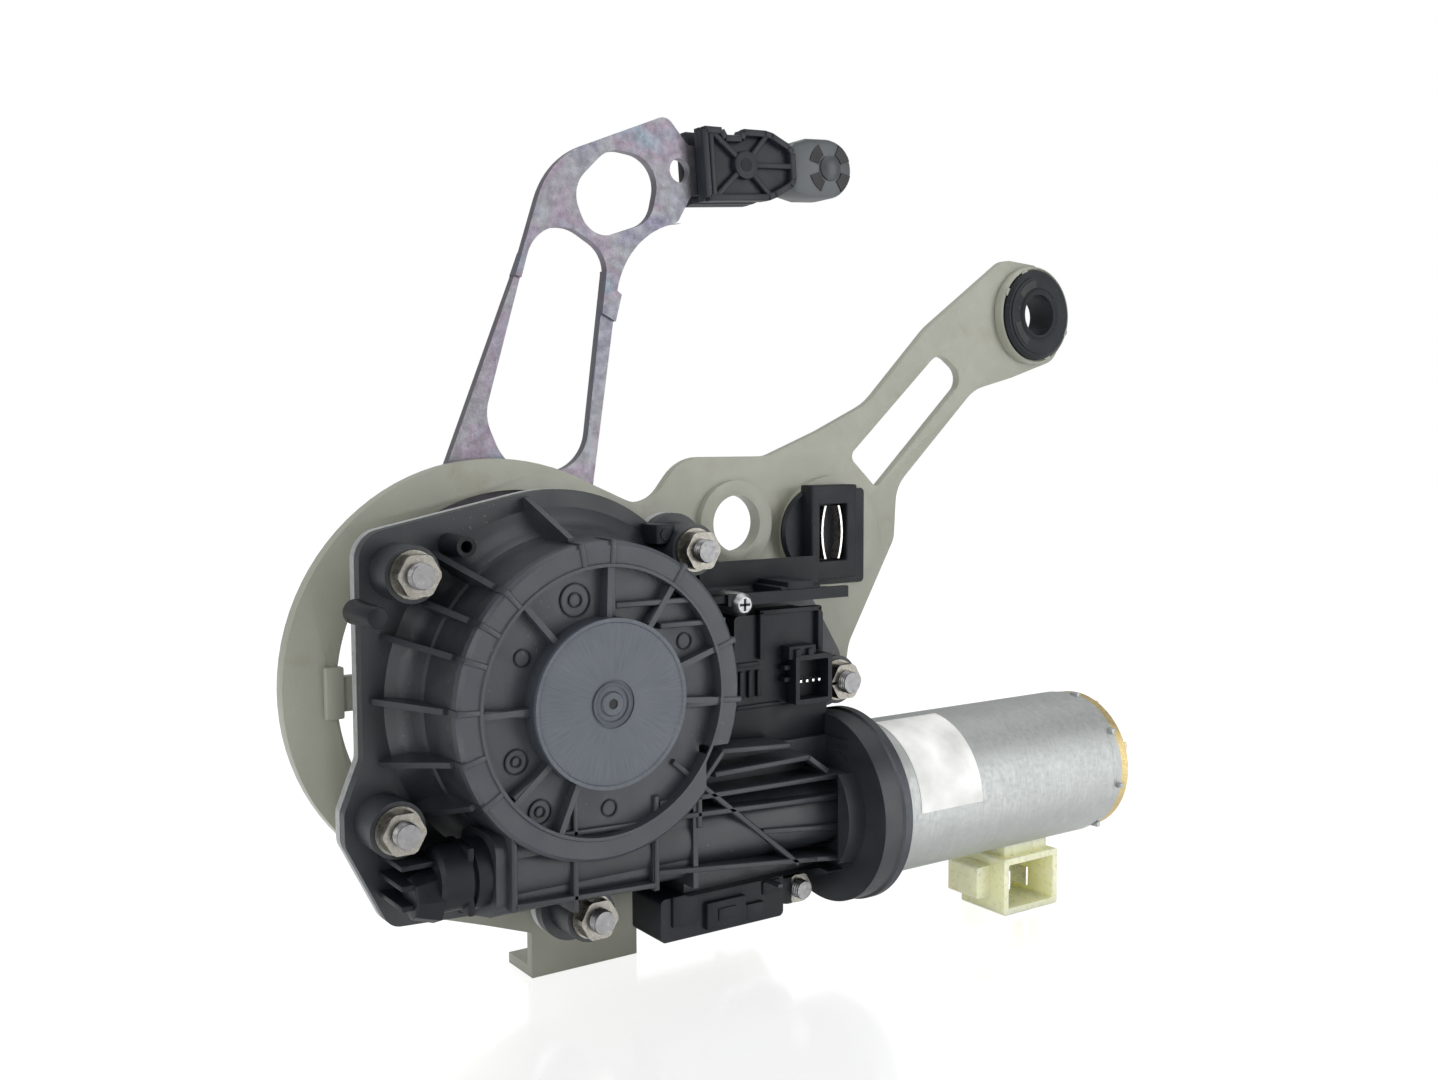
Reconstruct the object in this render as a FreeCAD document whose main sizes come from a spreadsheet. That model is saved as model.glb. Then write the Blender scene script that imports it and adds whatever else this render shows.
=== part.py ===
import FreeCAD, Part
import math
import os
import re
import Sketcher
from FreeCAD import Placement, Rotation, Vector

# Trunk lid actuator: a motor and worm drive a wheel, a clutch passes the turn on to a planetary
# stage, and the output shaft swings a lever with a link at its tip. All of it hangs on a bracket.
#
# Every size below is in millimetres or degrees. Places are measured from the output axis, with x
# along the motor, y into the depth from the front disc, z up. The part's own origin is the centre
# of the ear bore in the front face of the bracket, so every piece is shifted by the last lines.

doc = FreeCAD.newDocument("TrunkLidActuator")
sheet = doc.addObject("Spreadsheet::Sheet", "Sizes")

SIZES = {
    # Bracket
    "bracket_front": 47.0,
    "bracket_sheet": 3.0,
    "bracket_opening_radius": 49.0,
    "bracket_rim_radius": 58.9,
    "bracket_rim_x": -7.9,
    "bracket_rim_z": 1.6,
    "bracket_rim_depth": 8.0,
    "bracket_rim_wall": 2.6,
    "ear_x": 68.9,
    "ear_z": 40.3,
    "ear_radius": 18.5,
    "ear_ring_radius": 13.0,
    "ear_ring_rise": 2.0,
    "ear_bore_radius": 8.5,
    "pocket_x": 105.0,
    "pocket_z": 35.0,
    "pocket_radius": 19.0,
    "pocket_rise": 2.5,
    "pocket_window_width": 20.0,
    "pocket_window_height": 26.0,
    "arm_end_x": 194.5,
    "arm_end_z": 108.0,
    "arm_end_radius": 17.5,
    "foot_left": -28.0,
    "foot_right": 90.0,
    "foot_level": -85.0,
    "foot_depth": 15.0,
    "foot_wall": 3.0,
    # Gearbox cover
    "disc_radius": 21.5,
    "disc_lip": 0.6,
    "hub_recess_radius": 6.2,
    "hub_recess_depth": 0.8,
    "annulus_level": 6.5,
    "ring_level": 3.0,
    "ring_inner_radius": 34.0,
    "drum_radius": 40.4,
    "drum_foot_radius": 42.0,
    "drum_step_level": 21.0,
    "cover_wall": 2.2,
    "flange_front": 30.0,
    "flange_thickness": 3.0,
    "flange_arc_radius": 51.0,
    "rib_thickness": 1.5,
    "gusset_radius": 51.5,
    "lug_radius": 9.6,
    "boss_radius": 7.1,
    "boss_level": 19.6,
    "tunnel_front": 7.5,
    "tunnel_radius": 10.5,
    "worm_bay_radius": 7.6,
    "mount_radius": 27.6,
    "mount_dish_radius": 25.5,
    "mount_end": 86.4,
    "mount_depth": 6.4,
    "cap_radius": 8.2,
    "cap_end": -42.0,
    "cap_length": 13.0,
    # Gearbox base
    "seal_thickness": 0.5,
    "seal_inset": 1.0,
    "base_flange": 3.0,
    "base_drum_radius": 45.0,
    "base_drum_depth": 11.0,
    "base_wall": 3.5,
    "base_boss_radius": 14.0,
    "base_boss_end": 54.0,
    "cavity_radius": 38.3,
    # Studs and nuts
    "stud_radius": 3.0,
    "stud_hole_clearance": 0.3,
    "stud_front": 12.4,
    "stud_head_radius": 5.0,
    "stud_head_height": 3.2,
    "nut_across_flats": 10.0,
    "nut_height": 4.6,
    "small_stud_radius": 2.5,
    "small_nut_across_flats": 8.0,
    "stud_upper_left_x": -44.0,
    "stud_upper_left_z": 33.3,
    "stud_lower_left_x": -49.0,
    "stud_lower_left_z": -28.5,
    "stud_upper_right_x": 37.0,
    "stud_upper_right_z": 35.5,
    "stud_right_x": 87.0,
    "stud_right_z": -5.2,
    "stud_bottom_x": 4.0,
    "stud_bottom_z": -60.0,
    "stud_bottom_right_x": 69.5,
    "stud_bottom_right_z": -63.5,
    # Worm stage
    "worm_module": 1.0,
    "wheel_teeth": 72,
    "worm_pitch_radius": 5.4,
    "worm_turns": 9,
    "worm_thread_width": 1.35,
    "wheel_tooth_width": 1.38,
    "tooth_addendum": 0.9,
    "tooth_dedendum": 1.2,
    "wheel_level": 17.0,
    "wheel_width": 9.0,
    "wheel_web": 4.0,
    "wheel_rim": 4.6,
    "wheel_hub_radius": 10.0,
    "running_fit": 0.05,
    # Planetary stage
    "planet_module": 1.25,
    "sun_teeth": 12,
    "planet_teeth": 18,
    "gear_backlash": 0.14,
    "gear_pressure_angle": 25.0,
    "gear_addendum": 0.88,
    "gear_dedendum": 1.2,
    "planet_front": 26.0,
    "planet_width": 7.0,
    "planet_pin_radius": 2.5,
    "carrier_radius": 26.0,
    "carrier_thickness": 4.0,
    "carrier_gap": 0.5,
    # Clutch
    "clutch_plate_radius": 22.0,
    "clutch_plate_thickness": 1.6,
    "clutch_gap": 0.4,
    "clutch_ring_inner": 12.0,
    "coil_outer_radius": 18.6,
    "coil_inner_radius": 8.4,
    "coil_end": 10.4,
    # Output shaft
    "shaft_front_radius": 3.5,
    "shaft_radius": 4.5,
    "output_radius": 7.0,
    "shaft_collar_radius": 9.5,
    "thread_radius": 6.0,
    "shaft_start": 3.0,
    "front_bushing_radius": 5.6,
    "front_bushing_end": 9.0,
    "output_bushing_radius": 9.5,
    # Lever and link
    "lever_front": 56.0,
    "lever_thickness": 3.0,
    "lever_hub_radius": 26.0,
    "lever_set": 1.0,
    "link_pin_x": 75.5,
    "link_pin_z": 147.6,
    "link_pin_radius": 2.5,
    "tongue_radius": 7.0,
    "tip_hole_x": 55.6,
    "tip_hole_z": 144.8,
    "tip_hole_radius": 3.5,
    "lever_nut_flats": 19.0,
    "lever_nut_height": 7.0,
    "link_length": 34.0,
    "link_height": 20.0,
    "link_depth": 15.0,
    "link_slot_clearance": 0.35,
    "link_wall": 1.8,
    "head_radius": 7.5,
    "head_length": 26.0,
    # Motor
    "motor_end": 188.0,
    "front_plate_radius": 28.2,
    "front_plate_thickness": 4.0,
    "can_radius": 23.0,
    "can_wall": 1.8,
    "can_end": 184.0,
    "end_plate_radius": 22.4,
    "motor_shaft_radius": 2.5,
    "armature_radius": 16.2,
    "armature_start": 112.0,
    "armature_length": 34.0,
    "magnet_thickness": 4.2,
    "commutator_radius": 8.0,
    "commutator_start": 158.0,
    "commutator_length": 11.0,
    "brush_width": 4.0,
    "bearing_radius": 5.5,
    "bearing_length": 6.0,
    # Motor connector
    "plug_left": 145.5,
    "plug_width": 24.0,
    "plug_bottom": -85.0,
    "plug_top": -67.0,
    "plug_front": 8.0,
    "plug_depth": 19.0,
    # Electronics housing
    "box_left": 48.3,
    "box_right": 79.6,
    "box_bottom": -10.5,
    "box_top": 16.5,
    "box_front": 17.0,
    "box_wall": 1.8,
    "socket_left": 66.0,
    "socket_width": 13.0,
    "socket_bottom": -9.5,
    "socket_height": 14.0,
    "socket_front": 12.0,
    "board_thickness": 1.6,
    # Lower connector block
    "block_left": 22.0,
    "block_right": 63.0,
    "block_height": 12.0,
    "block_front": 14.0,
    "block_back": 29.0,
    # Clip in the pocket
    "clip_front": 38.0,
    "clip_width": 25.0,
    "clip_height": 30.0,
    "leaf_thickness": 0.8,
    # Socket at the arm's end
    "arm_socket_radius": 13.2,
    "arm_socket_bore": 7.0,
    "arm_socket_front": 42.0,
    "arm_socket_back": 53.0,
}

for row, (alias, value) in enumerate(SIZES.items(), start=1):
    sheet.set(f"A{row}", alias.replace("_", " "))
    sheet.set(f"B{row}", str(value))
    sheet.setAlias(f"B{row}", alias)
doc.recompute()


def size(expression):
    """The value of an expression in the sheet's names."""
    return float(sheet.evalExpression(str(expression)))


def linked(expression):
    """The same expression, written so that another object can follow the sheet."""
    return re.sub(r"[a-z][a-z_]*[a-z]", lambda word: "Sizes." + word.group(0)
                  if word.group(0) in SIZES else word.group(0), str(expression))


def bind(piece, **properties):
    """Ties properties of an object to expressions, such as Length="bracket_sheet"."""
    for name, expression in properties.items():
        piece.setExpression(name.replace("__", "."), linked(expression))


# Levels and places that follow from the sizes

SEAM = "(flange_front + flange_thickness)"
BASE_FRONT = f"({SEAM} + seal_thickness)"
BASE_BACK = f"({BASE_FRONT} + base_drum_depth)"
BRACKET_BACK = "(bracket_front + bracket_sheet)"
LEVER_BACK = "(lever_front + lever_thickness)"
WORM_Z = "(-(wheel_teeth * worm_module / 2 + worm_pitch_radius))"
CARRIER_FRONT = "(planet_front + planet_width + carrier_gap)"
CARRIER_BACK = f"({CARRIER_FRONT} + carrier_thickness)"
CAVITY_BACK = f"({BASE_BACK} - base_wall)"

BLOCK_BOTTOM_Z = f"({WORM_Z} - tunnel_radius - 6)"
WORM_LEFT = "(cap_end + cap_length)"

# Each stud's name with the radii of its boss and shank and its nut's width
STUDS = {
    "upper_left": ("boss_radius", "stud_radius", "nut_across_flats"),
    "lower_left": ("boss_radius", "stud_radius", "nut_across_flats"),
    "upper_right": ("boss_radius", "stud_radius", "nut_across_flats"),
    "right": ("boss_radius", "stud_radius", "nut_across_flats"),
    "bottom": ("boss_radius", "stud_radius", "nut_across_flats"),
    "bottom_right": ("boss_radius - 1.2", "small_stud_radius", "small_nut_across_flats"),
}


def stud_place(name):
    """The expressions for a stud's x and z."""
    return f"stud_{name}_x", f"stud_{name}_z"


# Helpers for bodies made of sketches

def origin_plane(body, role):
    """One of a body's own origin planes."""
    return [feature for feature in body.Origin.OriginFeatures if feature.Role == role][0]


def put_in_place(piece, x="0", y="0", z="0"):
    """Shifts a finished piece from the output axis to the part's own origin."""
    bind(piece, Placement__Base__x=f"{x} - ear_x", Placement__Base__y=f"{y} - bracket_front",
         Placement__Base__z=f"{z} - ear_z")


def new_body(label):
    """An empty body for one piece, in its place."""
    body = doc.addObject("PartDesign::Body", label)
    body.Label = label
    put_in_place(body)
    return body


def rounded(points):
    """Edges of a closed outline. A point is (u, v) or (u, v, radius of its rounding)."""
    count = len(points)
    corners = [Vector(point[0], point[1], 0) for point in points]
    starts, ends, arcs = [], [], []
    for index, point in enumerate(points):
        corner = corners[index]
        back = (corners[index - 1] - corner).normalize()
        ahead = (corners[(index + 1) % count] - corner).normalize()
        radius = point[2] if len(point) > 2 else 0
        if radius <= 0:
            starts.append(corner)
            ends.append(corner)
            arcs.append(None)
            continue
        half = back.getAngle(ahead) / 2
        reach = radius / math.tan(half)
        centre = corner + (back + ahead).normalize() * (radius / math.sin(half))
        first = corner + back * reach
        last = corner + ahead * reach
        middle = centre + (corner - centre).normalize() * radius
        starts.append(first)
        ends.append(last)
        arcs.append(Part.Arc(first, middle, last))
    edges = []
    for index in range(count):
        if arcs[index] is not None:
            edges.append(arcs[index])
        following = (index + 1) % count
        if (starts[following] - ends[index]).Length > 1e-6:
            edges.append(Part.LineSegment(ends[index], starts[following]))
    return edges


def rectangle(left, low, right, high, radius=0):
    """A closed outline, its four values being expressions."""
    x0, z0, x1, z1 = size(left), size(low), size(right), size(high)
    return [(x0, z0, radius), (x1, z0, radius), (x1, z1, radius), (x0, z1, radius)]


def bar(x0, z0, x1, z1, thickness):
    """A thin closed outline along a line."""
    along = Vector(x1 - x0, z1 - z0, 0).normalize()
    side = Vector(-along.y, along.x, 0) * (thickness / 2)
    ends = [Vector(x0, z0, 0) + side, Vector(x0, z0, 0) - side,
            Vector(x1, z1, 0) - side, Vector(x1, z1, 0) + side]
    return [(end.x, end.y) for end in ends]


def ring_sector(x, z, inner, outer, start, end):
    """Edges of a part of a ring, between two angles in degrees."""
    def at(radius, angle):
        turn = math.radians(angle)
        return Vector(x + radius * math.cos(turn), z + radius * math.sin(turn), 0)
    middle = (start + end) / 2
    return [
        Part.Arc(at(outer, start), at(outer, middle), at(outer, end)),
        Part.LineSegment(at(outer, end), at(inner, end)),
        Part.Arc(at(inner, end), at(inner, middle), at(inner, start)),
        Part.LineSegment(at(inner, start), at(outer, start)),
    ]


def draw(body, plane, level, outlines=(), circles=(), turn=None, rise="0"):
    """A sketch on an origin plane: outlines of points, circles of three expressions."""
    drawing = body.newObject("Sketcher::SketchObject", body.Label + "_sketch")
    drawing.AttachmentSupport = [(origin_plane(body, plane), "")]
    drawing.MapMode = "FlatFace"
    side = "-" if plane == "XZ_Plane" else ""
    if turn is not None:
        drawing.AttachmentOffset = Placement(Vector(0, 0, 0), Rotation(Vector(0, 1, 0), turn))
    else:
        drawing.setExpression(".AttachmentOffset.Base.z", linked(f"{side}({level})"))
        drawing.setExpression(".AttachmentOffset.Base.y", linked(rise))
    for outline in outlines:
        drawing.addGeometry(rounded(outline) if isinstance(outline[0], tuple) else outline, False)
    for x, z, radius in circles:
        index = drawing.addGeometry(Part.Circle(Vector(size(x), size(z), 0), Vector(0, 0, 1),
                                                size(radius)), False)
        for kind, value in (("Radius", radius), ("DistanceX", x), ("DistanceY", z)):
            if kind == "Radius":
                rule = Sketcher.Constraint(kind, index, size(value))
            else:
                rule = Sketcher.Constraint(kind, -1, 1, index, 3, size(value))
            number = drawing.addConstraint(rule)
            drawing.setExpression(f"Constraints[{number}]", linked(value))
    return drawing


def pad(body, drawing, length, midplane=False):
    """Adds material: into the depth from a front sketch, towards +X from a side sketch."""
    feature = body.newObject("PartDesign::Pad", body.Label + "_pad")
    feature.Profile = drawing
    bind(feature, Length=length)
    plane = drawing.AttachmentSupport[0][0].Role
    feature.Reversed = plane == "XZ_Plane"
    feature.Midplane = midplane
    drawing.Visibility = False
    return feature


def pocket(body, drawing, length):
    """Cuts material: into the depth from a front sketch, towards +X from a side sketch."""
    feature = body.newObject("PartDesign::Pocket", body.Label + "_pocket")
    feature.Profile = drawing
    bind(feature, Length=length)
    plane = drawing.AttachmentSupport[0][0].Role
    feature.Reversed = plane != "XZ_Plane"
    drawing.Visibility = False
    return feature


def front_pad(body, start, end, outlines=(), circles=()):
    """Material between two depths."""
    return pad(body, draw(body, "XZ_Plane", start, outlines, circles), f"({end}) - ({start})")


def front_pocket(body, start, end, outlines=(), circles=()):
    """A cut between two depths."""
    return pocket(body, draw(body, "XZ_Plane", start, outlines, circles), f"({end}) - ({start})")


def side_pad(body, start, end, outlines=(), circles=()):
    """Material between two places along the motor, drawn in depth and height."""
    return pad(body, draw(body, "YZ_Plane", start, outlines, circles), f"({end}) - ({start})")


def side_pocket(body, start, end, outlines=(), circles=()):
    """A cut between two places along the motor, drawn in depth and height."""
    return pocket(body, draw(body, "YZ_Plane", start, outlines, circles), f"({end}) - ({start})")


def revolve(body, drawing, axis, cut=False):
    """A full turn of a sketch about one of its own axes."""
    kind = "PartDesign::Groove" if cut else "PartDesign::Revolution"
    feature = body.newObject(kind, body.Label + "_turn")
    feature.Profile = drawing
    feature.ReferenceAxis = (drawing, [axis])
    feature.Angle = 360
    drawing.Visibility = False
    return feature


def gear_turned(label, profile):
    """A body turned about the output axis from (radius, depth) expressions."""
    body = new_body(label)
    points = [(size(radius), size(depth)) for radius, depth in profile]
    revolve(body, draw(body, "XY_Plane", "0", [points]), "V_Axis")
    return body


def motor_turned(label, profile):
    """A body turned about the motor axis from (place along it, radius) expressions."""
    body = new_body(label)
    points = [(size(place), size(radius)) for place, radius in profile]
    drawing = draw(body, "XZ_Plane", "wheel_level", [points], rise=WORM_Z)
    revolve(body, drawing, "H_Axis")
    return body


# Helpers for pieces made of plain solids

TURNS = {"x": Rotation(Vector(0, 1, 0), 90), "y": Rotation(Vector(1, 0, 0), -90),
         "z": Rotation()}


def cylinder(label, radius, length, x, y, z, axis="y"):
    """A cylinder that starts at a point and runs along an axis."""
    piece = doc.addObject("Part::Cylinder", label)
    piece.Placement = Placement(Vector(), TURNS[axis])
    bind(piece, Radius=radius, Height=length, Placement__Base__x=x, Placement__Base__y=y,
         Placement__Base__z=z)
    return piece


def hexagon(label, flats, height, x, y, z):
    """A hexagonal prism along the depth."""
    piece = doc.addObject("Part::Prism", label)
    piece.Polygon = 6
    piece.Placement = Placement(Vector(), TURNS["y"])
    bind(piece, Circumradius=f"({flats}) / sqrt(3)", Height=height, Placement__Base__x=x,
         Placement__Base__y=y, Placement__Base__z=z)
    return piece


def block(label, x, y, z, width, depth, height):
    """A box from its lowest corner."""
    piece = doc.addObject("Part::Box", label)
    bind(piece, Length=width, Width=depth, Height=height, Placement__Base__x=x,
         Placement__Base__y=y, Placement__Base__z=z)
    return piece


def cut(label, base, tool):
    """One solid less another."""
    piece = doc.addObject("Part::Cut", label)
    piece.Base = base
    piece.Tool = tool
    return piece


def common(label, first, second):
    """What two solids share."""
    piece = doc.addObject("Part::MultiCommon", label)
    piece.Shapes = [first, second]
    return piece


def fuse(label, *pieces):
    """Several solids joined."""
    piece = doc.addObject("Part::MultiFuse", label)
    piece.Shapes = list(pieces)
    return piece


def group(label, pieces):
    """Separate solids that share one node."""
    piece = doc.addObject("Part::Compound", label)
    piece.Links = pieces
    return piece


def made(label, shape):
    """A piece whose shape is worked out from the sheet's values."""
    piece = doc.addObject("Part::Feature", label)
    piece.Shape = shape if shape.Placement.isIdentity() else Part.makeCompound([shape])
    return piece


def finish(piece, label):
    """Names a finished piece and puts it in its place."""
    piece.Label = label
    put_in_place(piece)
    finished.append(piece)
    return piece


finished = []


def lug_circles(radius):
    """An equal circle about each stud."""
    return [(*stud_place(name), radius) for name in STUDS]


def stud_circles(clearance):
    """A circle about each stud, larger than its shank by a clearance."""
    return [(*stud_place(name), f"{shank} + {clearance}")
            for name, (_, shank, _) in STUDS.items()]


# Bracket: a painted sheet with a dished rim, an ear, a pocket, a long slotted arm and a foot

def bracket_outline():
    """The sheet's outline, seen from the front."""
    rim_x, rim_z, rim = size("bracket_rim_x"), size("bracket_rim_z"), size("bracket_rim_radius")
    ear_x, ear_z, ear = size("ear_x"), size("ear_z"), size("ear_radius")
    end_x, end_z, end = size("arm_end_x"), size("arm_end_z"), size("arm_end_radius")
    pocket_x, pocket_z = size("pocket_x"), size("pocket_z")
    pocket_edge = size("pocket_radius") + 9
    left, right, foot = size("foot_left"), size("foot_right"), size("foot_level")
    return [
        (rim_x - rim * 0.72, rim_z - rim * 0.6, 12),
        (rim_x, rim_z + rim * 0.8),
        (rim_x + 22, rim_z + rim - 4.5, 20),
        (ear_x - ear - 12, ear_z + 5, 10),
        (ear_x - ear, ear_z + ear + 1.5, ear * 0.8),
        (ear_x + ear * 0.7, ear_z + ear + 1.5, 8),
        (pocket_x - 3, pocket_z + 33, 12),
        (pocket_x + 17, pocket_z + 42, 20),
        (end_x - 47, end_z - 6, 30),
        (end_x - 12, end_z + end + 1, 8),
        (end_x + 3, end_z + end, 6),
        (end_x + end, end_z + 8, end * 0.5),
        (end_x + end - 3, end_z - end + 3, end * 0.5),
        (end_x - 8, end_z - end - 4, 8),
        (end_x - 26, end_z - 26, 16),
        (pocket_x + pocket_edge + 1, pocket_z + 15, 12),
        (pocket_x + pocket_edge, pocket_z - 2, 8),
        (pocket_x + 9, pocket_z - 35, 12),
        (pocket_x + 6, pocket_z - 55, 16),
        (right + 8, foot + 25, 8),
        (right, foot, 3),
        (left, foot, 3),
    ]


def make_bracket():
    """The sheet with its raised ring, dished pockets, rim, foot, openings and long slot."""
    body = new_body("bracket")
    window = rectangle("pocket_x - pocket_window_width / 2",
                       "pocket_z - pocket_window_height / 2",
                       "pocket_x + pocket_window_width / 2",
                       "pocket_z + pocket_window_height / 2", 5)
    slot = [(114, 60, 2.5), (152.5, 94.5, 6), (164.5, 86.0, 5), (125.5, 49.5, 2.5)]
    front_pad(body, "bracket_front", BRACKET_BACK, [bracket_outline()])
    front_pad(body, "bracket_front", BRACKET_BACK,
              circles=[("bracket_rim_x", "bracket_rim_z", "bracket_rim_radius")])
    front_pad(body, "bracket_front - ear_ring_rise", "bracket_front",
              circles=[("ear_x", "ear_z", "ear_ring_radius")])
    front_pad(body, "bracket_front - pocket_rise", "bracket_front",
              circles=[("pocket_x", "pocket_z", "pocket_radius"),
                       ("arm_end_x", "arm_end_z", "arm_end_radius - 1.5")])
    foot = rectangle("foot_left + 2", "foot_level", "foot_right - 2", "foot_level + foot_wall")
    front_pad(body, BRACKET_BACK, "bracket_front + foot_depth", [foot])
    for left in ("foot_left + 20", "foot_right - 24"):
        web = draw(body, "YZ_Plane", left, [[
            (size(BRACKET_BACK), size("foot_level")),
            (size("bracket_front + foot_depth") - 2, size("foot_level")),
            (size(BRACKET_BACK), size("foot_level + foot_depth"))]])
        pad(body, web, "bracket_sheet")
    front_pad(body, BRACKET_BACK, "bracket_front + bracket_rim_depth",
              [ring_sector(size("bracket_rim_x"), size("bracket_rim_z"),
                           size("bracket_rim_radius - bracket_rim_wall"),
                           size("bracket_rim_radius"), 62, 222)])
    front_pocket(body, "0", "bracket_front + foot_depth + 1",
                 circles=[("0", "0", "bracket_opening_radius"),
                          ("ear_x", "ear_z", "ear_bore_radius"),
                          ("arm_end_x", "arm_end_z", "arm_socket_radius - 2")])
    front_pocket(body, "bracket_front - pocket_rise - 1", f"{BRACKET_BACK} + 1",
                 [window, slot])
    front_pocket(body, "bracket_front - 1", f"{BRACKET_BACK} + 1", circles=stud_circles("0"))
    finished.append(body)
    return body


# Gearbox cover: one moulding with the drum, worm tunnel, motor mount, bosses and ribs

def flange_outline(inset=0):
    """The flange of cover and base, seen from the front; inset makes it smaller for the seal."""
    lug = size("lug_radius") - inset
    arc = size("flange_arc_radius") - inset
    left_x, left_z = size("stud_upper_left_x"), size("stud_upper_left_z")
    low_x, low_z = size("stud_lower_left_x"), size("stud_lower_left_z")
    right_x, right_z = size("stud_right_x"), size("stud_right_z")
    base_z = size("stud_bottom_z")
    end_x, end_z = size("stud_bottom_right_x"), size("stud_bottom_right_z")
    crest = arc / math.cos(math.radians(27.5))
    top_x, top_z = crest * math.cos(math.radians(77.5)), crest * math.sin(math.radians(77.5))
    return [
        (left_x - lug, left_z + lug * 0.95, lug * 0.8),
        (top_x, top_z, arc * 0.9),
        (top_x + 31, top_z - 26, 3),
        (size("box_left") + 1, size("box_top") + 4 - inset, 2),
        (size("box_right") + 6, size("box_top") + 2 - inset, 4),
        (right_x + lug, right_z + 6, 5),
        (right_x + lug, right_z - lug, 5),
        (size("mount_end - mount_depth") - 7, right_z - lug - 1, 2),
        (size("mount_end - mount_depth") - 7, end_z - lug + 2, 6),
        (end_x - lug - 3, end_z - lug + 1, 4),
        (end_x - lug - 6, base_z - 1 + inset, 2),
        (low_x + 1.5, base_z + 4 + inset, 5),
        (low_x - lug, low_z - 5, lug * 0.6),
        (low_x - lug, low_z + 3, 4),
        (left_x - lug, low_z + lug + 6, 6),
    ]


def turn_cover_drum(body):
    """The drum with its disc and raised ring, as one turned wall."""
    wall, front, inner = "cover_wall", "annulus_level", "ring_inner_radius"
    profile = [
        ("0", "hub_recess_depth"), ("hub_recess_radius", "hub_recess_depth"),
        ("hub_recess_radius", "0.4"), ("disc_radius - 1.2", "0.4"), ("disc_radius - 0.9", "0"),
        ("disc_radius", "0"), ("disc_radius", front), (inner, front),
        (inner, "ring_level - disc_lip"), (f"{inner} + 0.8", "ring_level - disc_lip"),
        (f"{inner} + 1.1", "ring_level"), ("drum_radius - 1", "ring_level"),
        ("drum_radius", "ring_level + 1"), ("drum_radius + 0.9", "drum_step_level"),
        ("drum_foot_radius", "drum_step_level + 0.4"), ("drum_foot_radius + 2", "flange_front - 3"),
        ("drum_foot_radius + 6", "flange_front"), ("drum_foot_radius + 6", SEAM),
        ("cavity_radius", SEAM), ("cavity_radius", f"{front} + {wall}"),
        ("coil_outer_radius + 0.4", f"{front} + {wall}"), ("coil_outer_radius + 0.4", wall),
        ("front_bushing_radius + 2.2", wall), ("front_bushing_radius + 2.2", "front_bushing_end"),
        ("front_bushing_radius", "front_bushing_end"), ("front_bushing_radius", "shaft_start"),
        ("0", "shaft_start"),
    ]
    points = [(size(radius), size(depth)) for radius, depth in profile]
    revolve(body, draw(body, "XY_Plane", "0", [points]), "V_Axis")


def cover_ribs():
    """Ribs on the front: radial ones in the annulus, then straight ones along x and z."""
    thick = size("rib_thickness")
    inner, outer = size("disc_radius") - 0.4, size("ring_inner_radius") + 0.4
    radial = []
    for angle in (18, 55, 88, 131, 180, 221, 247, 355):
        turn = math.radians(angle)
        radial.append(bar(inner * math.cos(turn), inner * math.sin(turn),
                          outer * math.cos(turn), outer * math.sin(turn), thick))
    return radial


def make_cover():
    """The flange, the drum and the ribs in its front annulus."""
    body = new_body("gearbox_cover")
    front_pad(body, "flange_front", SEAM, [flange_outline()])
    front_pad(body, "flange_front", SEAM, circles=lug_circles("lug_radius"))
    turn_cover_drum(body)
    front_pad(body, "ring_level", "annulus_level + 0.5", cover_ribs())
    return body


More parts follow.
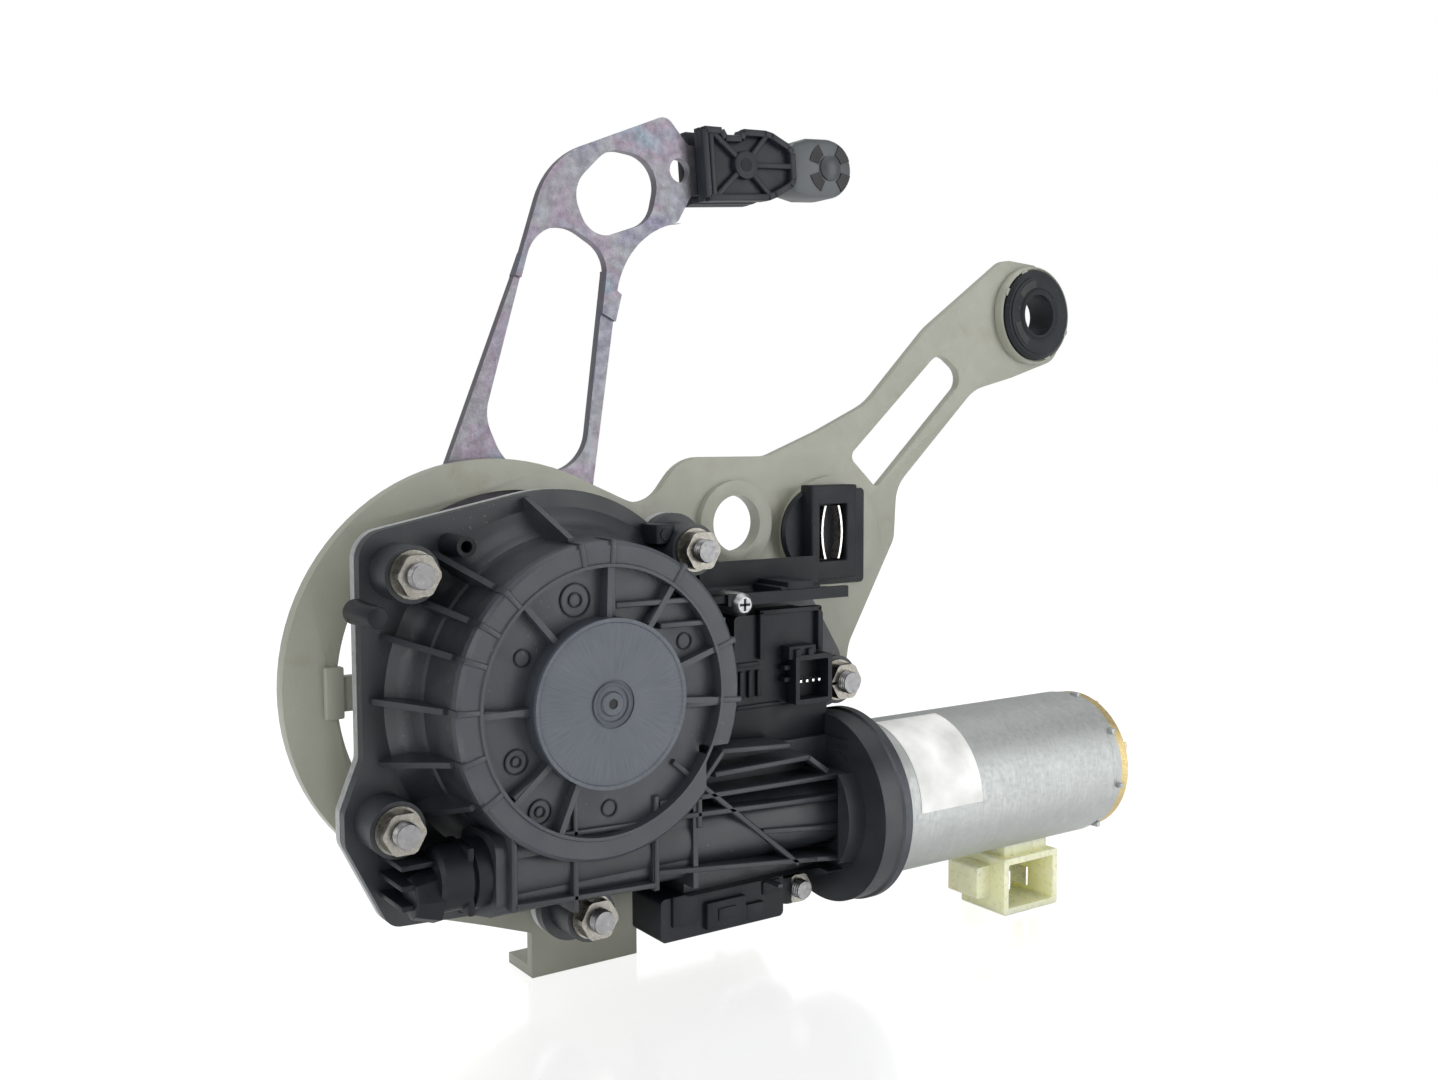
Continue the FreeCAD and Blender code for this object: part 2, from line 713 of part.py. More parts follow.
def make_gearbox_cover():
    """The whole moulding, hollowed for the wheel, the worm and the motor's spigot."""
    body = make_cover()
    worm_z = size(WORM_Z)
    mount_start = "(mount_end - mount_depth)"
    for name, (radius, _, _) in STUDS.items():
        x, z = stud_place(name)
        front_pad(body, "boss_level", "flange_front + 1", circles=[(x, z, radius)])
    # The worm tunnel and, to its right, the deeper block in front of the motor mount
    radius = size("tunnel_radius")
    front, back = size("tunnel_front"), size("flange_front") + 1
    side_pad(body, "cap_end + cap_length", mount_start, [[
        (front, worm_z - radius + 1, 5), (back, worm_z - radius - 4),
        (back, worm_z + radius), (front, worm_z + radius, 5)]])
    side_pad(body, "ring_inner_radius - 4", mount_start, [[
        (front + 2.5, size(BLOCK_BOTTOM_Z), 3), (back, size(BLOCK_BOTTOM_Z)),
        (back, worm_z + radius + 11), (front + 2.5, worm_z + radius + 11, 3)]])
    # The round mount of the motor, with its dished face towards the gearbox
    side_pad(body, mount_start, "mount_end", circles=[("wheel_level", WORM_Z, "mount_radius")])
    side_pad(body, f"{mount_start} - 6", mount_start,
             circles=[("wheel_level", WORM_Z, "mount_radius - 8.6")])
    # Straight ribs over the tunnel and the block
    thick = size("rib_thickness")
    along = [bar(31, z, size(mount_start) + 0.5, z, thick)
             for z in (worm_z + 20.5, worm_z + 15, worm_z + 9.5, worm_z + 4, worm_z - 6,
                       worm_z - 15)]
    across = [bar(x, low, x, high, thick)
              for x, low, high in ((-8.2, worm_z - 9.4, -34), (15.4, worm_z - 9.4, -34),
                                   (28, worm_z - 12, -30), (56, worm_z - 17, worm_z + 20))]
    diagonal = [bar(30, -26, 53, -52, thick)]
    for bars in (along, across, diagonal):
        for one in bars:
            front_pad(body, "tunnel_front - 1.6", "tunnel_front + 6", [one])
    # Gussets from the drum's wall down to the flange
    for angle in (100, 133, 147, 160, 178, 196, 213):
        gusset = draw(body, "XY_Plane", "0", [[
            (size("drum_radius") - 0.8, size("ring_level") + 5),
            (size("drum_radius") + 1.5, size("ring_level") + 5),
            (size("gusset_radius"), size("flange_front") - 1.5),
            (size("gusset_radius"), size("flange_front") + 0.5),
            (size("drum_radius") - 0.8, size("flange_front") + 0.5)]], turn=-angle)
        pad(body, gusset, "rib_thickness", midplane=True)
    # Chamber for the wheel, bay for the worm, seats for its bearings and the motor's spigot
    front_pocket(body, "annulus_level + cover_wall", f"{SEAM} + 1",
                 circles=[("0", "0", "cavity_radius")])
    side_pocket(body, "cap_end + cap_length - 1", "mount_end + 1",
                circles=[("wheel_level", WORM_Z, "worm_bay_radius")])
    side_pocket(body, "mount_end - 4", "mount_end + 1",
                circles=[("wheel_level", WORM_Z, "mount_dish_radius - 5")])
    front_pocket(body, "0", f"{SEAM} + 1", circles=stud_circles("stud_hole_clearance"))
    finished.append(body)


def make_base():
    """The rear shell: a flange, a drum that passes through the bracket, and the shaft's boss."""
    body = new_body("gearbox_base")
    front_pad(body, BASE_FRONT, f"{BASE_FRONT} + base_flange", [flange_outline()])
    front_pad(body, BASE_FRONT, f"{BASE_FRONT} + base_flange",
              circles=lug_circles("lug_radius"))
    front_pad(body, BASE_FRONT, BASE_BACK, circles=[("0", "0", "base_drum_radius")])
    front_pad(body, f"{BASE_BACK} - 1", "base_boss_end", circles=[("0", "0", "base_boss_radius")])
    for angle in range(15, 375, 30):
        web = draw(body, "XY_Plane", "0", [[
            (size("base_boss_radius") - 1, size(BASE_BACK) - 0.5),
            (size("base_drum_radius") - 4, size(BASE_BACK) - 0.5),
            (size("base_boss_radius") - 1, size("base_boss_end") - 2)]], turn=-angle)
        pad(body, web, "rib_thickness", midplane=True)
    front_pocket(body, f"{BASE_FRONT} - 1", CAVITY_BACK, circles=[("0", "0", "cavity_radius")])
    front_pocket(body, f"{BASE_FRONT} - 1", "base_boss_end + 1",
                 circles=[("0", "0", "output_bushing_radius")])
    front_pocket(body, f"{BASE_FRONT} - 1", f"{BASE_FRONT} + base_flange + 1",
                 circles=stud_circles("stud_hole_clearance"))
    finished.append(body)


def make_seal():
    """The flat seal between cover and base."""
    body = new_body("seam_seal")
    front_pad(body, SEAM, BASE_FRONT, [flange_outline(size("seal_inset"))])
    front_pad(body, SEAM, BASE_FRONT, circles=lug_circles("lug_radius - seal_inset"))
    front_pocket(body, f"{SEAM} - 1", f"{BASE_FRONT} + 1",
                 circles=[("0", "0", "cavity_radius + 0.5"), *lug_circles("stud_radius + 1")])
    finished.append(body)


# Studs through cover, base and posts into the bracket, with their nuts

def make_fasteners():
    """Headed studs from behind, nuts on their front ends and posts between base and bracket."""
    studs, nuts, posts = [], [], []
    for name, (_, shank, flats) in STUDS.items():
        x, z = stud_place(name)
        rod = cylinder(f"stud_{name}", shank, f"{BRACKET_BACK} - stud_front",
                       x, "stud_front", z)
        head = cylinder(f"stud_head_{name}", "stud_head_radius", "stud_head_height",
                        x, BRACKET_BACK, z)
        studs.append(fuse(f"whole_stud_{name}", rod, head))
        body = hexagon(f"nut_body_{name}", flats, "nut_height", x,
                       "boss_level - nut_height", z)
        crown = cylinder(f"nut_crown_{name}", f"{flats} * 0.545", "nut_height", x,
                         "boss_level - nut_height", z)
        shaped = common(f"nut_shape_{name}", body, crown)
        bore = cylinder(f"nut_bore_{name}", shank, "nut_height + 2", x,
                        "boss_level - nut_height - 1", z)
        nuts.append(cut(f"nut_{name}", shaped, bore))
        post_start = f"{BASE_FRONT} + base_flange"
        outer = cylinder(f"post_outer_{name}", f"{shank} + 2.4",
                         f"bracket_front - ({post_start})", x, post_start, z)
        inner = cylinder(f"post_inner_{name}", f"{shank} + stud_hole_clearance",
                         f"bracket_front - ({post_start}) + 2", x, f"{post_start} - 1", z)
        posts.append(cut(f"post_{name}", outer, inner))
    finish(group("housing_studs", studs), "housing_studs")
    finish(group("housing_nuts", nuts), "housing_nuts")
    finish(group("spacer_posts", posts), "spacer_posts")


# Gears

def involute_half_angle(radius, base_radius, pitch_half_angle, pitch_radius):
    """Half the angle of a tooth at a radius, on an involute flank."""
    def involute(at_radius):
        pressure = math.acos(min(1.0, base_radius / at_radius))
        return math.tan(pressure) - pressure
    return pitch_half_angle + involute(pitch_radius) - involute(radius)


def gear_outline(teeth, module, inner, outer, pitch_half_angle, first_tooth=0.0):
    """Points of an involute gear about the origin, from root to tip and back for each tooth."""
    pitch_radius = module * teeth / 2
    base_radius = pitch_radius * math.cos(math.radians(size("gear_pressure_angle")))
    start = max(inner, base_radius)
    flank = [start + (outer - start) * step / 3 for step in range(4)]
    half = [involute_half_angle(r, base_radius, pitch_half_angle, pitch_radius) for r in flank]
    if inner < start - 0.02:
        flank.insert(0, inner)
        half.insert(0, half[0])
    points = []
    for tooth in range(teeth):
        middle = math.radians(first_tooth) + 2 * math.pi * tooth / teeth
        for radius, angle in zip(flank, half):
            points.append((radius * math.cos(middle - angle), radius * math.sin(middle - angle)))
        for radius, angle in zip(reversed(flank), reversed(half)):
            points.append((radius * math.cos(middle + angle), radius * math.sin(middle + angle)))
    return points


def flat_face(points, depth, x=0.0, z=0.0):
    """A face at a depth, from points seen from the front."""
    corners = [Vector(x + u, depth, z + v) for u, v in points]
    return Part.Face(Part.makePolygon(corners + corners[:1]))


def disc(radius, start, length, x=0.0, z=0.0):
    """A plain cylinder along the depth."""
    return Part.makeCylinder(radius, length, Vector(x, start, z), Vector(0, 1, 0))


def tooth_half_angle(teeth, module):
    """Half the angle of a tooth at the pitch circle, less its share of the backlash."""
    width = math.pi * module / 2 - size("gear_backlash")
    return width / (module * teeth)


def make_planetary():
    """The sun with its clutch plate, three planets on pins, the fixed ring and the carrier."""
    module = size("planet_module")
    sun, planet = int(size("sun_teeth")), int(size("planet_teeth"))
    ring = sun + 2 * planet
    addendum, dedendum = size("gear_addendum") * module, size("gear_dedendum") * module
    front, width = size("planet_front"), size("planet_width")
    fit = size("running_fit")
    distance = module * (sun + planet) / 2
    sun_pitch, planet_pitch, ring_pitch = module * sun / 2, module * planet / 2, module * ring / 2

    plate_front = size("wheel_level + wheel_width / 2 + clutch_plate_thickness + clutch_gap")
    plate = size("clutch_plate_thickness")
    teeth = flat_face(gear_outline(sun, module, sun_pitch - dedendum, sun_pitch + addendum,
                                   tooth_half_angle(sun, module)), plate_front + plate)
    gear = teeth.extrude(Vector(0, front + width - plate_front - plate, 0))
    gear = gear.fuse(disc(size("clutch_plate_radius"), plate_front, plate))
    gear = gear.cut(disc(size("shaft_radius") + fit, plate_front - 1, front + width))
    finish(made("sun_gear", gear), "sun_gear")

    pins = []
    for index in range(3):
        turn = math.radians(120 * index)
        x, z = distance * math.cos(turn), distance * math.sin(turn)
        outline = gear_outline(planet, module, planet_pitch - dedendum, planet_pitch + addendum,
                               tooth_half_angle(planet, module),
                               first_tooth=120 * index + 180 / planet)
        gear = flat_face(outline, front, x, z).extrude(Vector(0, width, 0))
        gear = gear.cut(disc(size("planet_pin_radius") + fit, front - 1, width + 2, x, z))
        label = f"planet_gear_{index + 1}"
        finish(made(label, gear), label)
        pins.append(made(f"planet_pin_{index + 1}",
                         disc(size("planet_pin_radius"), front, size(CARRIER_BACK) - front, x, z)))
    finish(group("planet_pins", pins), "planet_pins")

    spaces = gear_outline(ring, module, ring_pitch - addendum, ring_pitch + dedendum,
                          math.pi / ring - tooth_half_angle(ring, module),
                          first_tooth=180 / ring)
    hollow = flat_face(spaces, front - 1).extrude(Vector(0, size(CAVITY_BACK) - front + 2, 0))
    outer = disc(size("cavity_radius"), front - 0.5, size(CAVITY_BACK) - front + 0.5)
    finish(made("ring_gear", outer.cut(hollow)), "ring_gear")

    carrier = disc(size("carrier_radius"), size(CARRIER_FRONT), size("carrier_thickness"))
    carrier = carrier.cut(disc(size("output_radius"), size(CARRIER_FRONT) - 1, 10))
    for index in range(3):
        turn = math.radians(120 * index)
        x, z = distance * math.cos(turn), distance * math.sin(turn)
        carrier = carrier.cut(disc(size("planet_pin_radius"), size(CARRIER_FRONT) - 1, 10, x, z))
    finish(made("planet_carrier", carrier), "planet_carrier")


def make_worm_wheel():
    """The worm wheel: a toothed rim whose teeth follow the worm's lead, a web and a hub."""
    module, teeth = size("worm_module"), int(size("wheel_teeth"))
    pitch = module * teeth / 2
    root, tip = pitch - size("tooth_dedendum") * module, pitch + size("tooth_addendum") * module
    slope = math.tan(math.radians(20))
    half = size("wheel_tooth_width") / 2
    level, width = size("wheel_level"), size("wheel_width")
    lead_turn = module / (2 * size("worm_pitch_radius")) * (width / 2) / pitch

    def face(depth, turn):
        points = []
        for tooth in range(teeth):
            middle = -math.pi / 2 + (tooth + 0.5) * 2 * math.pi / teeth + turn
            for radius, side in ((root, -1), (tip, -1), (tip, 1), (root, 1)):
                angle = middle + side * (half + (pitch - radius) * slope) / radius
                points.append((radius * math.cos(angle), radius * math.sin(angle)))
        corners = [Vector(u, depth, v) for u, v in points]
        return Part.makePolygon(corners + corners[:1])

    front, back = level - width / 2, level + width / 2
    rim = Part.makeLoft([face(front, lead_turn), face(back, -lead_turn)], True, True)
    rim = rim.cut(disc(root - size("wheel_rim"), front - 1, width + 2))
    web = size("wheel_web")
    wheel = rim.fuse([disc(root - size("wheel_rim") + 0.5, level - web / 2, web),
                      disc(size("wheel_hub_radius"), front, width)])
    wheel = wheel.cut(disc(size("shaft_radius + running_fit"), front - 1, width + 2))
    ring_inner, ring_outer = size("clutch_ring_inner"), size("clutch_plate_radius")
    for index in range(6):
        turn = math.radians(60 * index + 30)
        wheel = wheel.cut(disc(3.2, front - 1, width + 2, 26.4 * math.cos(turn),
                               26.4 * math.sin(turn)))
    finish(made("worm_wheel", wheel), "worm_wheel")

    start = level + web / 2
    ring = disc(ring_outer, start, back - start + size("clutch_plate_thickness"))
    ring = ring.cut(disc(ring_inner, start - 1, width))
    finish(made("clutch_rotor", ring), "clutch_rotor")


def make_worm():
    """The worm: a core with one helical thread, meshing at its top with the wheel."""
    module = size("worm_module")
    lead = math.pi * module
    turns = size("worm_turns")
    pitch = size("worm_pitch_radius")
    root = pitch - size("tooth_dedendum") * module
    tip = pitch + size("tooth_addendum") * module
    slope = math.tan(math.radians(20))
    half = size("worm_thread_width") / 2
    length = lead * turns
    helix = Part.makeHelix(lead, length, root)
    sunk = root - 0.3
    low, high = half + (pitch - sunk) * slope, half + (pitch - tip) * slope
    profile = Part.makePolygon([Vector(sunk, 0, -low), Vector(tip, 0, -high),
                                Vector(tip, 0, high), Vector(sunk, 0, low),
                                Vector(sunk, 0, -low)])
    thread = Part.Wire(helix).makePipeShell([profile], True, True)
    core = Part.makeCylinder(root, length + 3, Vector(0, 0, -1.5))
    worm = thread.fuse(core)
    bore = Part.makeCylinder(size("motor_shaft_radius"), length + 10, Vector(0, 0, -5))
    worm = worm.cut(bore)
    worm.rotate(Vector(), Vector(0, 1, 0), 90)
    worm.translate(Vector(-length / 2, size("wheel_level"), size(WORM_Z)))
    finish(made("worm", worm), "worm")


# Output shaft, its bushings and the clutch coil

def make_output():
    """The stepped output shaft, the lever's nut, two bushings and the clutch coil."""
    shaft = gear_turned("output_shaft", [
        ("0", "shaft_start"), ("shaft_front_radius", "shaft_start"),
        ("shaft_front_radius", "front_bushing_end + 0.4"),
        ("shaft_radius", "front_bushing_end + 0.4"), ("shaft_radius", CARRIER_FRONT),
        ("output_radius", CARRIER_FRONT), ("output_radius", "base_boss_end + 0.4"),
        ("shaft_collar_radius", "base_boss_end + 0.4"), ("shaft_collar_radius", "lever_front"),
        ("thread_radius", "lever_front"),
        ("thread_radius", f"{LEVER_BACK} + lever_nut_height + 1"),
        ("thread_radius - 1", f"{LEVER_BACK} + lever_nut_height + 2"),
        ("0", f"{LEVER_BACK} + lever_nut_height + 2")])
    finished.append(shaft)
    nut_body = hexagon("lever_nut_body", "lever_nut_flats", "lever_nut_height", "0", LEVER_BACK,
                       "0")
    nut_bore = cylinder("lever_nut_bore", "thread_radius", "lever_nut_height + 2", "0",
                        f"{LEVER_BACK} - 1", "0")
    finish(cut("lever_nut", nut_body, nut_bore), "lever_nut")
    for label, inner, outer, start, end in (
            ("front_bushing", "shaft_front_radius + running_fit", "front_bushing_radius",
             "shaft_start", "front_bushing_end"),
            ("output_bushing", "output_radius + running_fit", "output_bushing_radius",
             f"{CARRIER_BACK} + 0.5", "base_boss_end"),
            ("clutch_coil", "coil_inner_radius", "coil_outer_radius", "cover_wall", "coil_end")):
        sleeve = cylinder(f"{label}_outer", outer, f"({end}) - ({start})", "0", start, "0")
        hole = cylinder(f"{label}_inner", inner, f"({end}) - ({start}) + 2", "0",
                        f"{start} - 1", "0")
        finish(cut(label, sleeve, hole), label)


# Lever with its link

def make_lever():
    """The lever: a curved plate with a set tip, a slot, an oval, a hole and a pinned tongue."""
    body = new_body("lever")
    pin_x, pin_z = size("link_pin_x"), size("link_pin_z")
    hole_x, hole_z = size("tip_hole_x"), size("tip_hole_z")
    hub = size("lever_hub_radius")
    tongue = size("tongue_radius")
    lower = [
        (-hub * 1.5, hub * 0.35, 18), (3.5, 115.2), (12.6, 123.9), (31.5, 113.4), (33.6, 103.0),
        (hub * 0.72, hub * 0.2, 14)]
    upper = [
        (2.2, 112.5), (12.5, 144.0, 26), (hole_x - 4.5, hole_z + 15.5, 4),
        (hole_x + 3.0, hole_z + 7.5, 3), (pin_x, pin_z + tongue * 0.95),
        (pin_x, pin_z - tongue), (hole_x + 4.0, hole_z - 7.0, 3),
        (hole_x - 1.0, hole_z - 15.5, 3), (36.5, 127.0, 26), (32.8, 100.0), (20.0, 106.0)]
    slot = [(-7.8, 72.0, 12), (9.5, 131.0, 11.5), (31.2, 118.5, 9), (23.0, 56.5, 12.5),
            (-1.0, 56.5, 13)]
    oval = [(19.2, 136.5, 9), (25.5, 121.8, 8), (45.5, 129.0, 9), (49.5, 147.0, 9),
            (31.5, 148.8, 10)]
    front_pad(body, "lever_front", LEVER_BACK, [lower])
    front_pad(body, "lever_front", LEVER_BACK, circles=[("0", "0", "lever_hub_radius")])
    front_pad(body, "lever_front - lever_set", f"{LEVER_BACK} - lever_set", [upper])
    front_pad(body, "lever_front - lever_set", f"{LEVER_BACK} - lever_set",
              circles=[("link_pin_x", "link_pin_z", "tongue_radius")])
    set_line = draw(body, "XZ_Plane", "lever_front - lever_set",
                    [[(1.6, 110.9), (4.1, 117.4), (13.2, 122.2), (35.5, 107.4), (33.4, 99.6),
                      (20.0, 106.0)]])
    pad(body, set_line, "lever_thickness + lever_set")
    front_pocket(body, "lever_front - lever_set - 1", f"{LEVER_BACK} + 1", [slot, oval],
                 [("tip_hole_x", "tip_hole_z", "tip_hole_radius")])
    front_pocket(body, "lever_front - lever_set - 1", f"{LEVER_BACK} + 1",
                 circles=[("0", "0", "thread_radius"),
                          ("link_pin_x", "link_pin_z", "link_pin_radius + running_fit")])
    finished.append(body)


LINK_FRONT = "(lever_front - lever_set + lever_thickness / 2 - link_depth / 2)"
SLOT_FRONT = "(lever_front - lever_set - link_slot_clearance)"
SLOT_BACK = "(lever_front - lever_set + lever_thickness + link_slot_clearance)"


def make_link():
    """The link: a ribbed fork over the lever's tongue, its head and the claws round the head."""
    body = new_body("link")
    x, z = size("link_pin_x"), size("link_pin_z")
    tall = size("link_height") / 2
    left = x - size("tongue_radius") - 7.2
    right = left + size("link_length")
    outline = [(left, z - tall, 1), (right - 10, z - tall, 4), (right, z - tall + 5, 3),
               (right, z + tall - 5, 3), (right - 10, z + tall, 4), (left + 16, z + tall, 0.6),
               (left + 13.5, z + tall - 2.5, 1), (left + 9, z + tall - 2.5, 1),
               (left + 7, z + tall, 0.6), (left, z + tall, 1)]
    front_pad(body, LINK_FRONT, f"{LINK_FRONT} + link_depth", [outline])
    wall, rib = size("link_wall"), size("rib_thickness")
    recesses = [
        [(left + 8.5, z - tall + 4), (left + 8.5, z + tall - 6), (left + 13, z + 1.5),
         (left + 13, z - 1.5)],
        [(left + 12.5, z - tall + wall), (right - 9.5, z - tall + wall), (x + 3.8, z - 5.4),
         (x - 2.8, z - 5.4)],
        [(x + 5.2, z + rib / 2), (right - 6, z + rib / 2), (right - 11, z + tall - wall)],
        [(x + 5.2, z - rib / 2), (x + 11.5, z - tall + 3), (right - 6, z - rib / 2)],
        [(x - 4, z + 5.6), (x + 3.2, z + 5.6), (x + 6.6, z + tall - wall),
         (x - 1, z + tall - wall)],
    ]
    front_pocket(body, f"{LINK_FRONT} - 1", f"{LINK_FRONT} + link_wall", recesses)
    front_pocket(body, f"{LINK_FRONT} + link_depth - link_wall", f"{LINK_FRONT} + link_depth + 1",
                 recesses)
    slot_end = size("tongue_radius") + 1.2
    front_pocket(body, SLOT_FRONT, SLOT_BACK,
                 [[(left - 1, z - tall - 1), (x + slot_end, z - tall - 1),
                   (x + slot_end, z + tall + 1), (left - 1, z + tall + 1)]])
    front_pocket(body, f"{LINK_FRONT} - 1", f"{LINK_FRONT} + link_depth + 1",
                 circles=[("link_pin_x", "link_pin_z", "link_pin_radius")])
    finished.append(body)

    pin = cylinder("link_pin", "link_pin_radius", "link_depth", "link_pin_x", LINK_FRONT,
                   "link_pin_z")
    bind(pin, Placement__Base__x="link_pin_x - ear_x",
         Placement__Base__y=f"{LINK_FRONT} - bracket_front", Placement__Base__z="link_pin_z - ear_z")
    finished.append(pin)

    middle = "lever_front - lever_set + lever_thickness / 2"
    head = new_body("link_head")
    start = right
    radius, length = size("head_radius"), size("head_length")
    profile = [(start, 0), (start, radius * 0.78), (start + 3, radius * 0.86),
               (start + 4.5, radius * 0.6), (start + 6.5, radius * 0.6),
               (start + 8, radius), (start + length - 6, radius, 2), (start + length, radius * 0.45, 2),
               (start + length, 0)]
    drawing = draw(head, "XZ_Plane", middle, [profile], rise="link_pin_z")
    revolve(head, drawing, "H_Axis")
    finished.append(head)

    claws = []
    for index, turn in enumerate((45, 135, 225, 315)):
        for place, thickness in ((start + 8.6, 3.2), (start + length - 9.4, 3.2)):
            claw = Part.makeBox(thickness, 3.4, 2.6, Vector(place, -1.7, radius - 0.02))
            claw.rotate(Vector(place, 0, 0), Vector(1, 0, 0), turn)
            claw.translate(Vector(0, size(middle), z))
            claws.append(claw)
    barrel = Part.makeCylinder(radius + 3, length, Vector(start, size(middle), z), Vector(1, 0, 0))
    hollow = Part.makeCylinder(radius, length + 2, Vector(start - 1, size(middle), z),
                               Vector(1, 0, 0))
    kept = [claw.common(barrel).cut(hollow) for claw in claws]
    finish(made("head_claws", Part.makeCompound(kept)), "head_claws")


# Motor: front plate, can, end plate, magnets, brushes and the rotor

def tube_along_motor(label, outer, inner, start, end):
    """A sleeve about the motor axis."""
    sleeve = cylinder(f"{label}_outer", outer, f"({end}) - ({start})", start, "wheel_level",
                      WORM_Z, "x")
    hole = cylinder(f"{label}_inner", inner, f"({end}) - ({start}) + 2", f"{start} - 1",
                    "wheel_level", WORM_Z, "x")
    return finish(cut(label, sleeve, hole), label)


PLATE_END = "(mount_end + front_plate_thickness)"


def make_motor():
    """Plates, can, magnets, shaft, bushings, armature, commutator and brushes."""
    finished.append(motor_turned("motor_front_plate", [
        ("mount_end", "bearing_radius"), ("mount_end", "front_plate_radius - 0.6"),
        ("mount_end + 0.6", "front_plate_radius"), (f"{PLATE_END} - 1", "front_plate_radius"),
        (PLATE_END, "front_plate_radius - 1"), (PLATE_END, "bearing_radius")]))
    finished.append(motor_turned("motor_can", [
        (PLATE_END, "can_radius - can_wall"), (PLATE_END, "can_radius + 1.2"),
        (f"{PLATE_END} + 1.2", "can_radius + 1.2"), (f"{PLATE_END} + 2", "can_radius"),
        ("can_end - 4", "can_radius"), ("can_end - 3.4", "can_radius - 0.4"),
        ("can_end", "can_radius - 0.4"), ("can_end", "can_radius - can_wall")]))
    finished.append(motor_turned("motor_end_plate", [
        ("can_end", "bearing_radius"), ("can_end", "end_plate_radius"),
        ("motor_end - 0.8", "end_plate_radius"), ("motor_end", "end_plate_radius - 0.8"),
        ("motor_end", "bearing_radius + 4"), ("motor_end + 2", "bearing_radius + 3"),
        ("motor_end + 2", "bearing_radius")]))
    shaft_end = "motor_end + 1"
    finished.append(motor_turned("motor_shaft", [
        (f"{WORM_LEFT} - 2", "0"), (f"{WORM_LEFT} - 2", "motor_shaft_radius"),
        (shaft_end, "motor_shaft_radius"), (shaft_end, "0")]))
    fit = "motor_shaft_radius + running_fit"
    tube_along_motor("worm_bearing_left", "worm_bay_radius", fit, WORM_LEFT,
                     f"{WORM_LEFT} + bearing_length")
    tube_along_motor("worm_bearing_right", "worm_bay_radius", fit,
                     f"-{WORM_LEFT} - bearing_length", f"-{WORM_LEFT}")
    tube_along_motor("motor_front_bushing", "bearing_radius", fit, "mount_end", PLATE_END)
    tube_along_motor("motor_rear_bushing", "bearing_radius", fit, "can_end", "motor_end + 2")
    tube_along_motor("commutator", "commutator_radius", "motor_shaft_radius",
                     "commutator_start", "commutator_start + commutator_length")

    axis = Vector(0, size("wheel_level"), size(WORM_Z))
    start, length = size("armature_start"), size("armature_length")
    core = Part.makeCylinder(size("armature_radius"), length, axis + Vector(start, 0, 0),
                             Vector(1, 0, 0))
    core = core.cut(Part.makeCylinder(size("motor_shaft_radius"), length + 2,
                                      axis + Vector(start - 1, 0, 0), Vector(1, 0, 0)))
    windings = []
    slots = 8
    for index in range(slots):
        slot = Part.makeBox(length + 2, 4.4, 8, Vector(start - 1, -2.2, size("armature_radius") - 7))
        coil = Part.makeBox(length + 8, 4.4, 5, Vector(start - 4, -2.2,
                                                       size("armature_radius") - 7))
        for solid in (slot, coil):
            solid.rotate(Vector(), Vector(1, 0, 0), 360 / slots * index)
            solid.translate(axis)
        core = core.cut(slot)
        windings.append(coil)
    finish(made("armature_core", core), "armature_core")
    finish(made("armature_windings", Part.makeCompound(windings)), "armature_windings")

    magnets = []
    inner = size("can_radius - can_wall - magnet_thickness")
    outer = size("can_radius - can_wall")
    for middle in (90, 270):
        face = Part.Face(Part.Wire([edge.toShape() for edge in
                                    ring_sector(0, 0, inner, outer, middle - 62, middle + 62)]))
        magnet = face.extrude(Vector(0, 0, length + 6))
        magnet.rotate(Vector(), Vector(0, 1, 0), 90)
        magnet.translate(axis + Vector(start - 3, 0, 0))
        magnets.append(magnet)
    finish(made("magnets", Part.makeCompound(magnets)), "magnets")

    place = size("commutator_start") + 2
    card = Part.makeCylinder(outer, 3, axis + Vector(place + 5, 0, 0), Vector(1, 0, 0))
    card = card.cut(Part.makeCylinder(size("commutator_radius") + 1, 6,
                                      axis + Vector(place + 3, 0, 0), Vector(1, 0, 0)))
    finish(made("brush_holder", card), "brush_holder")
    brushes = []
    width = size("brush_width")
    for side in (-1, 1):
        low = size("commutator_radius") + 0.05
        brush = Part.makeBox(width, width, 7, Vector(place + 1, -width / 2, low))
        brush.rotate(Vector(), Vector(1, 0, 0), 90 * side)
        brush.translate(axis)
        brushes.append(brush)
    finish(made("brushes", Part.makeCompound(brushes)), "brushes")


def make_motor_connector():
    """The pale plug housing under the can: a saddle, a shell open to the front, two terminals."""
    body = new_body("motor_connector")
    left, right = "plug_left", "(plug_left + plug_width)"
    back = "(plug_front + plug_depth)"
    front_pad(body, "plug_front", back, [rectangle(left, "plug_bottom", right, "plug_top", 0.8)])
    saddle = rectangle(f"{left} + 3", "plug_top - 1", f"{right} - 2",
                       f"{WORM_Z} - can_radius + 6")
    front_pad(body, "plug_front + 3", f"{back} - 3", [saddle])
    step = rectangle(f"{left} - 6", "plug_bottom + 5", f"{left} + 1", "plug_top - 3", 0.6)
    front_pad(body, "plug_front + 6", back, [step])
    front_pocket(body, "plug_front - 1", f"{back} - 3",
                 [rectangle(f"{left} + 2", "plug_bottom + 2", f"{right} - 2", "plug_top - 2", 0.5)])
    side_pocket(body, left + " - 7", right + " + 2",
                circles=[("wheel_level", WORM_Z, "can_radius")])
    finished.append(body)
    pins = []
    for index, offset in enumerate(("7", "15")):
        pins.append(block(f"terminal_{index}", f"plug_left + {offset}", "plug_front + 5",
                          "(plug_bottom + plug_top) / 2 - 3", "0.8", f"plug_depth - 8", "6"))
    finish(group("motor_terminals", pins), "motor_terminals")


# Electronics housing, cable guide, lower connector block and end cap

